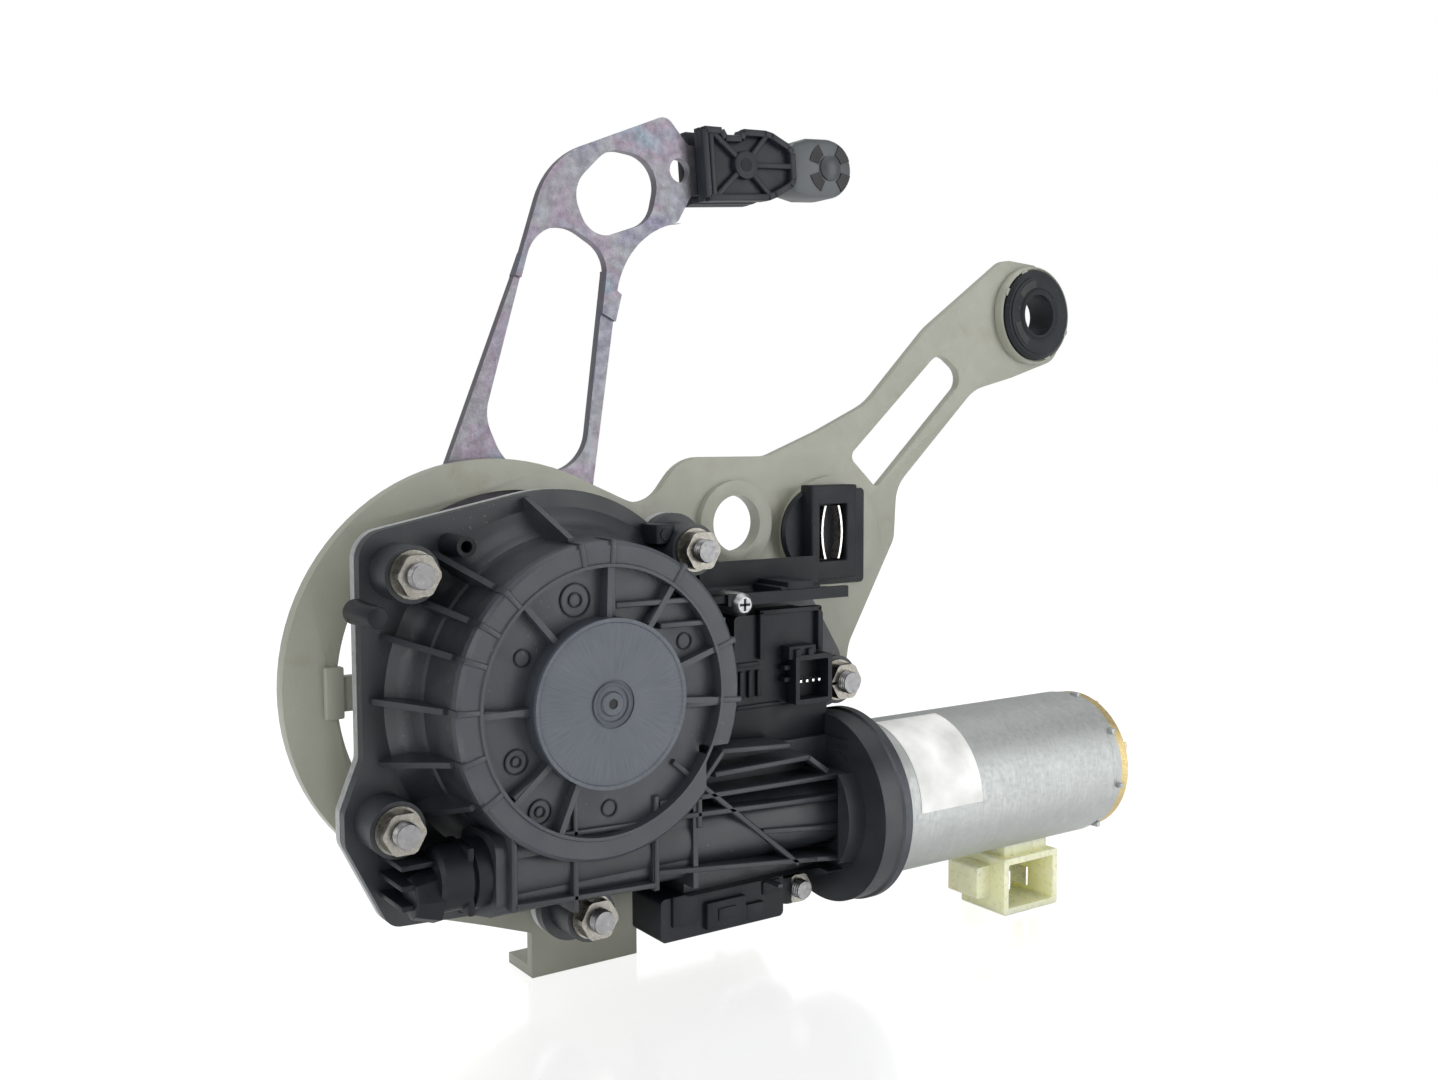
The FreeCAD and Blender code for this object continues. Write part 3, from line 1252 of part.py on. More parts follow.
def make_electronics():
    """The electronics box with the open socket on its front."""
    body = new_body("electronics_housing")
    outer = rectangle("box_left", "box_bottom", "box_right", "box_top", 1.5)
    inner = rectangle("box_left + box_wall", "box_bottom + box_wall", "box_right - box_wall",
                      "box_top - box_wall", 0.8)
    front_pad(body, "box_front", "flange_front", [outer])
    socket = rectangle("socket_left", "socket_bottom", "socket_left + socket_width",
                       "socket_bottom + socket_height", 0.8)
    front_pad(body, "socket_front", "box_front", [socket])
    front_pocket(body, "box_front + box_wall", "flange_front + 1", [inner])
    front_pocket(body, "socket_front - 1", "box_front + 0.2",
                 [rectangle("socket_left + 1.4", "socket_bottom + 1.4",
                            "socket_left + socket_width - 1.4",
                            "socket_bottom + socket_height - 1.4", 0.5)])
    return body


def make_small_housings():
    """The box's pins and board, the cable guide, the lower connector and the worm's cap."""
    body = make_electronics()
    finished.append(body)
    pins = [block(f"socket_pin_{index}", f"socket_left + {2.6 + 2.2 * index}", "socket_front + 1.5",
                  "socket_bottom + socket_height / 2 - 1", "0.7",
                  "box_front - socket_front - 1.3", "0.7") for index in range(4)]
    finish(group("socket_pins", pins), "socket_pins")
    edge = "(box_wall + 0.3)"
    board = block("circuit_board_plate", f"box_left + {edge}",
                  "flange_front - board_thickness - 2", f"box_bottom + {edge}",
                  f"box_right - box_left - 2 * {edge}", "board_thickness",
                  f"box_top - box_bottom - 2 * {edge}")
    finish(group("circuit_board", [board]), "circuit_board")

    guide = new_body("cable_guide")
    x0, x1 = size("box_left") - 4, size("box_right") + 7
    floor = size("box_top") + 3.4
    side = draw(guide, "YZ_Plane", "box_left - 4", [[
        (14, floor), (size("flange_front"), floor), (size("flange_front"), floor + 11, 1.5),
        (size("flange_front") - 1.8, floor + 11), (size("flange_front") - 1.8, floor + 1.8, 2),
        (15.8, floor + 1.8, 0.6), (15.8, floor + 3.2), (14, floor + 3.2)]])
    pad(guide, side, f"{x1 - x0}")
    finished.append(guide)

    lower = new_body("lower_connector")
    front_pad(lower, "block_front", "block_back",
              [rectangle("block_left", f"{BLOCK_BOTTOM_Z} - block_height", "block_right",
                         BLOCK_BOTTOM_Z, 1.5)])
    finished.append(lower)

    finished.append(motor_turned("worm_end_cap", [
        ("cap_end", "0"), ("cap_end", "cap_radius - 1"), ("cap_end + 1", "cap_radius"),
        ("cap_end + 8", "cap_radius"), ("cap_end + 8", "cap_radius - 0.8"),
        ("cap_end + 9", "cap_radius - 0.8"), ("cap_end + 9", "cap_radius + 0.6"),
        ("cap_end + cap_length", "cap_radius + 0.6"), ("cap_end + cap_length", "3.5"),
        ("cap_end + cap_length - 3", "3.5"), ("cap_end + cap_length - 3", "0")]))


# Pieces on the bracket: clip, leaf springs, arm socket, edge pad

def make_bracket_fittings():
    """The block with two leaf springs in the pocket, and the socket at the arm's end."""
    body = new_body("clip_block")
    face = "(bracket_front - pocket_rise)"
    front_pad(body, "clip_front", face,
              [rectangle("pocket_x - clip_width / 2", "pocket_z - clip_height / 2",
                         "pocket_x + clip_width / 2", "pocket_z + clip_height / 2", 1.5)])
    front_pad(body, face, BRACKET_BACK,
              [rectangle("pocket_x - pocket_window_width / 2", "pocket_z - pocket_window_height / 2",
                         "pocket_x + pocket_window_width / 2",
                         "pocket_z + pocket_window_height / 2", 5)])
    front_pocket(body, "clip_front - 1", f"{BRACKET_BACK} + 1",
                 [rectangle("pocket_x - 2", "pocket_z - 8.5", "pocket_x + 8", "pocket_z + 8.5", 1)])
    finished.append(body)
    leaves = []
    x, z = size("pocket_x") + 3, size("pocket_z")
    thick = size("leaf_thickness")
    for side in (-1, 1):
        def edge(offset, reverse=False):
            points = [Vector(x + side * (2.2 + offset), 0, z - 8.5),
                      Vector(x + side * (0.9 + offset), 0, z),
                      Vector(x + side * (2.2 + offset), 0, z + 8.5)]
            return Part.Arc(*points)
        inner, outer = edge(0), edge(thick)
        ends = [Part.LineSegment(inner.StartPoint, outer.StartPoint),
                Part.LineSegment(inner.EndPoint, outer.EndPoint)]
        wire = Part.Wire(Part.__sortEdges__([inner.toShape(), ends[1].toShape(), outer.toShape(),
                                             ends[0].toShape()]))
        leaf = Part.Face(wire).extrude(Vector(0, 7, 0))
        leaf.translate(Vector(0, size("clip_front") + 0.8, 0))
        leaves.append(leaf)
    finish(made("clip_leaves", Part.makeCompound(leaves)), "clip_leaves")

    socket = new_body("arm_socket")
    front_pad(socket, "arm_socket_front", "bracket_front - pocket_rise",
              circles=[("arm_end_x", "arm_end_z", "arm_socket_radius")])
    front_pad(socket, "bracket_front - pocket_rise - 0.5", "arm_socket_back",
              circles=[("arm_end_x", "arm_end_z", "arm_socket_radius - 2")])
    front_pocket(socket, "arm_socket_front - 1", "arm_socket_back + 1",
                 circles=[("arm_end_x", "arm_end_z", "arm_socket_bore")])
    finished.append(socket)


make_bracket()
make_gearbox_cover()
make_base()
make_seal()
make_fasteners()
make_planetary()
make_worm_wheel()
make_worm()
make_output()
make_lever()
make_link()
make_motor()
make_motor_connector()
make_small_housings()
make_bracket_fittings()

doc.recompute()
for item in doc.Objects:
    if any(word in item.State for word in ("Invalid", "Error")):
        raise RuntimeError(f"{item.Label} is not built: {item.State}")
for piece in finished:
    if piece.Shape.isNull() or not piece.Shape.isValid() or not piece.Shape.Solids:
        raise RuntimeError(f"{piece.Label} has no sound shape")
os.makedirs("parts", exist_ok=True)
for piece in finished:
    piece.Shape.exportStep(f"parts/{piece.Label}.step")
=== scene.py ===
import logging
import math
from dataclasses import dataclass, field
from enum import Enum
from typing import Sequence

import bmesh
import bpy
from mathutils import Matrix, Vector


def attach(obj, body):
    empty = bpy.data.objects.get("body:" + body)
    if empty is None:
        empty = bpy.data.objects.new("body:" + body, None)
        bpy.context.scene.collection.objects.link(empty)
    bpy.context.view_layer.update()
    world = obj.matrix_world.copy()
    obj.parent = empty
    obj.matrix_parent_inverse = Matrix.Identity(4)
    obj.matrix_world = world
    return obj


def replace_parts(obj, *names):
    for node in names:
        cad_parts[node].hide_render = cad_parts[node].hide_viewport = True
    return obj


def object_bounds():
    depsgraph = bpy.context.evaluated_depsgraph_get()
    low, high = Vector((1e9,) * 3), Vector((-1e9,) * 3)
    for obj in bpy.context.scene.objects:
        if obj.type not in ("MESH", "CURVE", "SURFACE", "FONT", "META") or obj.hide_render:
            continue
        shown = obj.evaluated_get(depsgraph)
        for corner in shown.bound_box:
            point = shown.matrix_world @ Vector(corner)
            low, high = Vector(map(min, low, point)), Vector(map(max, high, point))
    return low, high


# Looks of the trunk lid actuator: finishes for every CAD node, fine detail, studio and camera.
# Places and sizes are in millimetres from the output axis at the front disc, as in the part's
# source: x along the motor, y into the depth, z up. The part's own origin is the ear bore.

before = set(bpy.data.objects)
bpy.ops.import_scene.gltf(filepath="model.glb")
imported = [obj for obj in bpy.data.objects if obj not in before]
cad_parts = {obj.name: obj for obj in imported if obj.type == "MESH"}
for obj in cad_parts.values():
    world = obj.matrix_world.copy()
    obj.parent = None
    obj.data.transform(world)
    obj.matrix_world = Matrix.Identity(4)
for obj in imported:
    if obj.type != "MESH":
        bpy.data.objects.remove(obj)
cad_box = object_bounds()
log = logging.getLogger("actuator")

EAR = Vector((68.9, 47.0, 40.3))
MM = 0.001
MOTOR_Y, MOTOR_Z = 17.0, -41.4
# Distances in metres below which points are merged: in any shape, and after a cut.
MERGE = 1e-6
MERGE_CUT = 1e-5
# Edges that turn by more than this are shown sharp.
SHARP = math.radians(35)
DUST = (0.34, 0.33, 0.31)

Colour = tuple[float, float, float]
Place = tuple[float, float, float]
Point = tuple[float, float]
Line = tuple[float, float, float, float]
Box = tuple[float, float, float, float, float, float]
Socket = bpy.types.NodeSocket


def at(x: float, y: float, z: float) -> Vector:
    """A place in metres in the part's frame, from millimetres off the output axis."""
    return (Vector((x, y, z)) - EAR) * MM


def on_circle(centre: Point, radius: float, degrees: float) -> Point:
    """A point of a circle at an angle."""
    turn = math.radians(degrees)
    return (centre[0] + radius * math.cos(turn), centre[1] + radius * math.sin(turn))


def band(centre: Point, inner: float, outer: float, degrees: Sequence[float]) -> list[Point]:
    """Outline of a bent band between two radii.

    Args:
        centre: Centre of both circles.
        inner: Smaller radius.
        outer: Larger radius.
        degrees: Angles of its points, in order.

    Returns:
        The outer points, then the inner ones on the way back.
    """
    return ([on_circle(centre, outer, angle) for angle in degrees]
            + [on_circle(centre, inner, angle) for angle in reversed(degrees)])


def strip(line: Line, width: float) -> list[Point]:
    """Outline of a straight rib.

    Args:
        line: x and z of both its ends.
        width: Width across it.

    Returns:
        Its four corners.
    """
    x0, z0, x1, z1 = line
    length = math.hypot(x1 - x0, z1 - z0)
    across = (-(z1 - z0) / length * width / 2, (x1 - x0) / length * width / 2)
    return [(x0 + across[0], z0 + across[1]), (x0 - across[0], z0 - across[1]),
            (x1 - across[0], z1 - across[1]), (x1 + across[0], z1 + across[1])]


class Body(Enum):
    """Bodies of the part that new pieces ride on."""
    HOUSING = "housing"
    LINK = "link"


class Axis(Enum):
    """Direction that a turned or drawn shape runs along."""
    X = "x"
    Y = "y"
    Z = "z"

    def turn(self) -> Matrix:
        """The rotation that takes +Z to this axis.

        Returns:
            The rotation.
        """
        turns ={Axis.X: Matrix.Rotation(math.pi / 2, 4, "Y"),
                 Axis.Y: Matrix.Rotation(-math.pi / 2, 4, "X"),
                 Axis.Z: Matrix.Identity(4)}
        return turns[self]


class Graph:
    """The node graph of one material, on Object coordinates in millimetres."""

    def __init__(self, name: str) -> None:
        """Starts a material with a Principled shader and an output.

        Args:
            name: Name of the material.
        """
        self.material = bpy.data.materials.new(name)
        self.material.use_nodes = True
        self.tree = self.material.node_tree
        self.tree.nodes.clear()
        output = self.tree.nodes.new("ShaderNodeOutputMaterial")
        self.shader = self.tree.nodes.new("ShaderNodeBsdfPrincipled")
        self.link(self.shader.outputs["BSDF"], output.inputs["Surface"])
        place = self.tree.nodes.new("ShaderNodeTexCoord")
        scale = self.tree.nodes.new("ShaderNodeMapping")
        scale.inputs["Scale"].default_value = (1 / MM, 1 / MM, 1 / MM)
        self.link(place.outputs["Object"], scale.inputs["Vector"])
        self.place = scale.outputs["Vector"]

    def link(self, source: Socket, target: Socket) -> None:
        """Joins two sockets."""
        self.tree.links.new(source, target)

    def feed(self, name: str, source: Socket) -> None:
        """Joins a socket to an input of the shader."""
        self.link(source, self.shader.inputs[name])

    def fix(self, name: str, value: float | Colour) -> None:
        """Sets an input of the shader for the whole surface."""
        self.shader.inputs[name].default_value = value

    def stretched(self, size: Sequence[float], turn: Sequence[float] = (0, 0, 0)) -> Socket:
        """Coordinates scaled and turned for one pattern.

        Args:
            size: Scale along each axis.
            turn: Rotation in radians about each axis.

        Returns:
            The vector socket to read.
        """
        node = self.tree.nodes.new("ShaderNodeMapping")
        node.inputs["Scale"].default_value = size
        node.inputs["Rotation"].default_value = turn
        self.link(self.place, node.inputs["Vector"])
        return node.outputs["Vector"]

    def noise(self, scale: float, detail: float = 3, source: Socket | None = None,
              distortion: float = 0) -> Socket:
        """Smooth noise.

        Args:
            scale: Cells per millimetre.
            detail: How many finer layers it has.
            source: Coordinates to read; plain millimetres if not given.
            distortion: How far the cells are swirled.

        Returns:
            A value from 0 to 1.
        """
        node = self.tree.nodes.new("ShaderNodeTexNoise")
        node.inputs["Scale"].default_value = scale
        node.inputs["Detail"].default_value = detail
        node.inputs["Distortion"].default_value = distortion
        self.link(source or self.place, node.inputs["Vector"])
        return node.outputs["Fac"]

    def ramp(self, source: Socket, *stops: tuple[float, Colour | float]) -> Socket:
        """A colour ramp.

        Args:
            source: Value that picks the colour.
            stops: Places on the ramp with their colours or grey values.

        Returns:
            The colour.
        """
        node = self.tree.nodes.new("ShaderNodeValToRGB")
        elements = node.color_ramp.elements
        for index, (place, colour) in enumerate(stops):
            element = elements[index] if index < 2 else elements.new(place)
            element.position = place
            tone = (colour,) * 3 if isinstance(colour, (int, float)) else colour
            element.color = (*tone, 1)
        self.link(source, node.inputs["Fac"])
        return node.outputs["Color"]

    def between(self, source: Socket, low: Colour | float, high: Colour | float) -> Socket:
        """A ramp over the middle of a noise's range."""
        return self.ramp(source, (0.3, low), (0.7, high))

    def maths(self, operation: str, first: Socket, second: Socket | float) -> Socket:
        """One arithmetic step, clamped to 0..1 for MULTIPLY and ADD.

        Args:
            operation: Name of the step.
            first: Its first value.
            second: Its second value.

        Returns:
            The result.
        """
        node = self.tree.nodes.new("ShaderNodeMath")
        node.operation = operation
        node.use_clamp = operation in ("MULTIPLY", "ADD")
        self.link(first, node.inputs[0])
        if isinstance(second, (int, float)):
            node.inputs[1].default_value = second
        else:
            self.link(second, node.inputs[1])
        return node.outputs["Value"]

    def mix(self, share: Socket, low: Socket | Colour, high: Socket | Colour) -> Socket:
        """Blends two colours.

        Args:
            share: How much of the second colour shows.
            low: First colour.
            high: Second colour.

        Returns:
            The blend.
        """
        node = self.tree.nodes.new("ShaderNodeMix")
        node.data_type = "RGBA"
        self.link(share, node.inputs["Factor"])
        for name, value in (("A", low), ("B", high)):
            socket = next(item for item in node.inputs if item.name == name
                          and item.type == "RGBA")
            if isinstance(value, tuple):
                socket.default_value = (*value, 1)
            else:
                self.link(value, socket)
        return next(item for item in node.outputs if item.type == "RGBA")

    def bump(self, height: Socket, depth: float, below: Socket | None = None) -> Socket:
        """A bump.

        Args:
            height: Height as a share of the depth.
            depth: Depth in millimetres.
            below: Normal of a coarser bump under it.

        Returns:
            The normal.
        """
        node = self.tree.nodes.new("ShaderNodeBump")
        node.inputs["Distance"].default_value = depth * MM
        self.link(height, node.inputs["Height"])
        if below is not None:
            self.link(below, node.inputs["Normal"])
        return node.outputs["Normal"]

    def vector_step(self, operation: str, source: Socket,
                    other: Sequence[float] = (0, 0, 0)) -> bpy.types.Node:
        """One step of vector arithmetic.

        Args:
            operation: Name of the step.
            source: Vector that it takes.
            other: Constant second vector.

        Returns:
            The node, for its Vector or Value output.
        """
        node = self.tree.nodes.new("ShaderNodeVectorMath")
        node.operation = operation
        node.inputs[1].default_value = other
        self.link(source, node.inputs[0])
        return node

    def radius(self, centre: Vector) -> Socket:
        """Distance from a line along the depth, in millimetres.

        Args:
            centre: Point of the line, in metres.

        Returns:
            The distance.
        """
        shift = self.vector_step("SUBTRACT", self.place, centre / MM)
        flat = self.vector_step("MULTIPLY", shift.outputs["Vector"], (1, 0, 1))
        return self.vector_step("LENGTH", flat.outputs["Vector"]).outputs["Value"]

    def depth(self) -> Socket:
        """The depth of a point in millimetres, from the part's own origin.

        Returns:
            The depth.
        """
        node = self.tree.nodes.new("ShaderNodeSeparateXYZ")
        self.link(self.place, node.inputs["Vector"])
        return node.outputs["Y"]

    def angle(self, centre: Vector) -> Socket:
        """Angle about a line along the depth, in radians.

        Args:
            centre: Point of the line, in metres.

        Returns:
            The angle.
        """
        shift = self.vector_step("SUBTRACT", self.place, centre / MM)
        parts = self.tree.nodes.new("ShaderNodeSeparateXYZ")
        self.link(shift.outputs["Vector"], parts.inputs["Vector"])
        return self.maths("ARCTAN2", parts.outputs["Z"], parts.outputs["X"])

    def vector(self, *parts: Socket) -> Socket:
        """A vector made of up to three values.

        Args:
            parts: The values in order; those left out are 0.

        Returns:
            The vector.
        """
        node = self.tree.nodes.new("ShaderNodeCombineXYZ")
        for socket, part in zip(node.inputs, parts):
            self.link(part, socket)
        return node.outputs["Vector"]


@dataclass(frozen=True)
class Finish:
    """A finish: its colour and gloss, and the graph that gives it detail."""
    name: str
    colour: Colour
    roughness: float = 0.5

    def material(self) -> bpy.types.Material:
        """Builds the material, or finds the one already built.

        Returns:
            The material.
        """
        label = f"look_{self.name}"
        known = bpy.data.materials.get(label)
        if known is not None:
            return known
        graph = Graph(label)
        self.dress(graph)
        return graph.material

    def dress(self, graph: Graph) -> None:
        """Fills the graph; each kind of finish has its own."""
        raise NotImplementedError

    def shade(self, share: float) -> Colour:
        """The colour made darker or lighter."""
        return tuple(min(1.0, part * share) for part in self.colour)

    def uneven_gloss(self, graph: Graph, pattern: Socket, low: float, high: float) -> None:
        """Lets the roughness wander between two shares of the finish's own.

        Args:
            graph: Graph of the finish.
            pattern: Noise that it follows.
            low: Smaller share.
            high: Larger share.
        """
        gloss = graph.between(pattern, self.roughness * low, min(1.0, self.roughness * high))
        graph.feed("Roughness", gloss)


@dataclass(frozen=True)
class Moulding(Finish):
    """Moulded plastic with a fine grain, faint flow marks and dust."""
    grain: float = 0.03
    dust: float = 0.5
    shine: float = 0.5
    flow: float = 1.3

    def tone(self, graph: Graph) -> Socket:
        """The plastic's own colour with faint flow marks."""
        return graph.between(graph.noise(0.06, 5), self.shade(0.75), self.shade(self.flow))

    def dusty(self, graph: Graph, tone: Socket) -> Socket:
        """Lays specks of dust over a colour, in patches.

        Args:
            graph: Graph of the finish.
            tone: Colour below.

        Returns:
            The dusty colour.
        """
        specks = graph.ramp(graph.noise(1.1, 2), (0.68, 0.0), (0.8, 1.0))
        patches = graph.ramp(graph.noise(0.05, 3), (0.45, 0.0), (0.75, 1.0))
        amount = graph.maths("MULTIPLY", graph.maths("MULTIPLY", specks, patches), self.dust)
        return graph.mix(amount, tone, DUST)

    def skin(self, graph: Graph) -> Socket:
        """Sets shine and gloss.

        Args:
            graph: Graph of the finish.

        Returns:
            The normal of the grain.
        """
        graph.fix("Specular IOR Level", self.shine)
        self.uneven_gloss(graph, graph.noise(0.12, 4), 0.85, 1.2)
        return graph.bump(graph.noise(4.5, 2), self.grain)

    def dress(self, graph: Graph) -> None:
        """Adds tone, dust, uneven gloss and grain."""
        graph.feed("Base Color", self.dusty(graph, self.tone(graph)))
        graph.feed("Normal", self.skin(graph))


@dataclass(frozen=True)
class CoverMoulding(Moulding):
    """The cover's plastic: a painted sheen makes the front face paler, with a smooth disc that has
    radial marks.
    """
    flow: float = 1.35
    disc_radius: float = 21.6
    disc_depth: float = 1.2
    disc_tones: tuple[float, float] = (3.4, 4.5)
    # Within this radius and down to this depth the face is lightened by a painted sheen.
    painted_sheen_radius: float = 40.5
    painted_sheen_depth: float = 16.0
    painted_sheen_share: float = 0.55
    painted_sheen_tone: float = 2.6

    def region(self, graph: Graph, radius: float, depth: float) -> Socket:
        """Marks the front of the cover within a radius and down to a depth.

        Args:
            graph: Graph of the finish.
            radius: Radius of the region.
            depth: Depth of the region.

        Returns:
            1 in the region and 0 elsewhere.
        """
        near = graph.maths("LESS_THAN", graph.depth(), depth - EAR.y)
        inside = graph.maths("LESS_THAN", graph.radius(at(0, 0, 0)), radius)
        return graph.maths("MULTIPLY", inside, near)

    def dress(self, graph: Graph) -> None:
        """Adds a painted sheen that lightens the front face, and the disc's marks, to the moulded
        skin.

        Args:
            graph: Graph to fill.
        """
        centre = at(0, 0, 0)
        rays = graph.vector(graph.angle(centre),
                            graph.maths("MULTIPLY", graph.radius(centre), 0.004))
        marks = graph.ramp(graph.noise(40, 3, rays), (0.3, self.shade(self.disc_tones[0])),
                           (0.75, self.shade(self.disc_tones[1])))
        # Painted sheen: the front face within a radius is made paler, standing in for the reflection
        # of the front lamp.
        face = self.region(graph, self.painted_sheen_radius, self.painted_sheen_depth)
        sheen_painted_face = graph.mix(graph.maths("MULTIPLY", face, self.painted_sheen_share), self.tone(graph),
                         self.shade(self.painted_sheen_tone))
        disc = self.region(graph, self.disc_radius, self.disc_depth)
        graph.feed("Base Color", graph.mix(disc, self.dusty(graph, sheen_painted_face), marks))
        graph.feed("Normal", graph.bump(graph.noise(30, 2, rays), 0.02, self.skin(graph)))


@dataclass(frozen=True)
class Paint(Finish):
    """Thick paint on sheet steel: orange peel, faint stains and runs."""
    stain: Colour = (0.2, 0.17, 0.11)
    coat: float = 0.25

    def dress(self, graph: Graph) -> None:
        """Adds stains, peel and a clear upper layer.

        Args:
            graph: Graph to fill.
        """
        tone = graph.ramp(graph.noise(0.035, 4), (0.3, self.shade(0.93)), (0.75, self.shade(1.05)))
        marks = graph.ramp(graph.noise(0.09, 6, distortion=0.6), (0.62, 0.0), (0.78, 0.35))
        runs = graph.ramp(graph.noise(0.5, 3, graph.stretched((1, 1, 0.12))),
                          (0.66, 0.0), (0.8, 0.3))
        graph.feed("Base Color", graph.mix(graph.maths("ADD", marks, runs), tone, self.stain))
        self.uneven_gloss(graph, graph.noise(0.2, 3), 0.8, 1.25)
        graph.fix("Coat Weight", self.coat)
        graph.fix("Coat Roughness", self.coat)
        graph.feed("Normal", graph.bump(graph.noise(1.6, 3), 0.05))


@dataclass(frozen=True)
class Metal(Finish):
    """Plain or plated metal with fine machining lines and uneven gloss."""
    along: Axis = Axis.Y
    lines: float = 0.35
    stain: Colour = (0.3, 0.27, 0.22)
    stained: float = 0.3

    def dress(self, graph: Graph) -> None:
        """Adds tone, stains, machining lines and uneven gloss.

        Args:
            graph: Graph to fill.
        """
        graph.fix("Metallic", 1.0)
        stretch = {Axis.X: (0.05, 1, 1), Axis.Y: (1, 0.05, 1), Axis.Z: (1, 1, 0.05)}[self.along]
        lines = graph.noise(9, 3, graph.stretched(stretch))
        tone = graph.between(lines, self.shade(1 - self.lines * 0.5),
                             self.shade(1 + self.lines * 0.3))
        spots = graph.ramp(graph.noise(0.55, 5, distortion=0.4), (0.55, 0.0),
                           (0.75, self.stained))
        graph.feed("Base Color", graph.mix(spots, tone, self.stain))
        self.uneven_gloss(graph, graph.noise(0.9, 4), 0.7, 1.4)
        graph.feed("Normal", graph.bump(lines, 0.012))


@dataclass(frozen=True)
class Passivated(Finish):
    """Zinc plate with a passivated skin: grey with purple, blue and straw clouds, scratches."""
    violet: Colour = (0.15, 0.14, 0.2)
    mauve: Colour = (0.2, 0.165, 0.205)
    blue: Colour = (0.17, 0.21, 0.25)
    straw: Colour = (0.26, 0.24, 0.18)
    bare: Colour = (0.5, 0.5, 0.53)

    def dress(self, graph: Graph) -> None:
        """Adds clouds of colour, fine speckle and scratches along the lever.

        Args:
            graph: Graph to fill.
        """
        graph.fix("Metallic", 0.9)
        clouds = graph.ramp(graph.noise(0.06, 5, distortion=0.7), (0.3, self.violet),
                            (0.45, self.colour), (0.55, self.mauve), (0.68, self.blue),
                            (0.8, self.straw))
        speckle = graph.ramp(graph.noise(2.2, 4), (0.4, 0.0), (0.75, 0.3))
        colour = graph.mix(speckle, clouds, self.shade(1.3))
        scratch = graph.noise(3.2, 2, graph.stretched((1, 1, 0.03), (0, 0.35, 0)))
        marks = graph.ramp(scratch, (0.72, 0.0), (0.78, 0.4))
        graph.feed("Base Color", graph.mix(marks, colour, self.bare))
        self.uneven_gloss(graph, graph.noise(0.4, 5), 0.75, 1.3)
        graph.feed("Normal", graph.bump(graph.noise(1.4, 5), 0.04))


@dataclass(frozen=True)
class Galvanised(Finish):
    """Drawn steel can: satin silver with fine lines round it and soft blotches."""

    def dress(self, graph: Graph) -> None:
        """Adds lines, blotches and a satin gloss.

        Args:
            graph: Graph to fill.
        """
        graph.fix("Metallic", 0.85)
        lines = graph.noise(6, 4, graph.stretched((1, 0.04, 0.04)))
        tone = graph.between(lines, self.shade(0.86), self.shade(1.08))
        blotch = graph.ramp(graph.noise(0.12, 5, distortion=0.5), (0.4, 0.0), (0.8, 0.4))
        graph.feed("Base Color", graph.mix(blotch, tone, self.shade(0.78)))
        self.uneven_gloss(graph, graph.noise(0.7, 5), 0.85, 1.2)
        graph.feed("Normal", graph.bump(graph.noise(2.4, 4), 0.02))


@dataclass(frozen=True)
class ClearMoulding(Finish):
    """Natural plastic that lets some light through."""
    clarity: float = 0.05
    milk: float = 0.75
    milk_radius: Colour = (1.0, 0.9, 0.4)
    milk_scale: float = 0.004

    def dress(self, graph: Graph) -> None:
        """Adds depth, cloudiness and a smooth skin.

        Args:
            graph: Graph to fill.
        """
        tone = graph.between(graph.noise(0.15, 4), self.shade(0.9), self.shade(1.08))
        graph.feed("Base Color", tone)
        self.uneven_gloss(graph, graph.noise(0.6, 3), 0.8, 1.3)
        graph.fix("Subsurface Weight", self.milk)
        graph.fix("Subsurface Radius", self.milk_radius)
        graph.fix("Subsurface Scale", self.milk_scale)
        graph.fix("Transmission Weight", self.clarity)
        graph.feed("Normal", graph.bump(graph.noise(0.4, 2), 0.01))


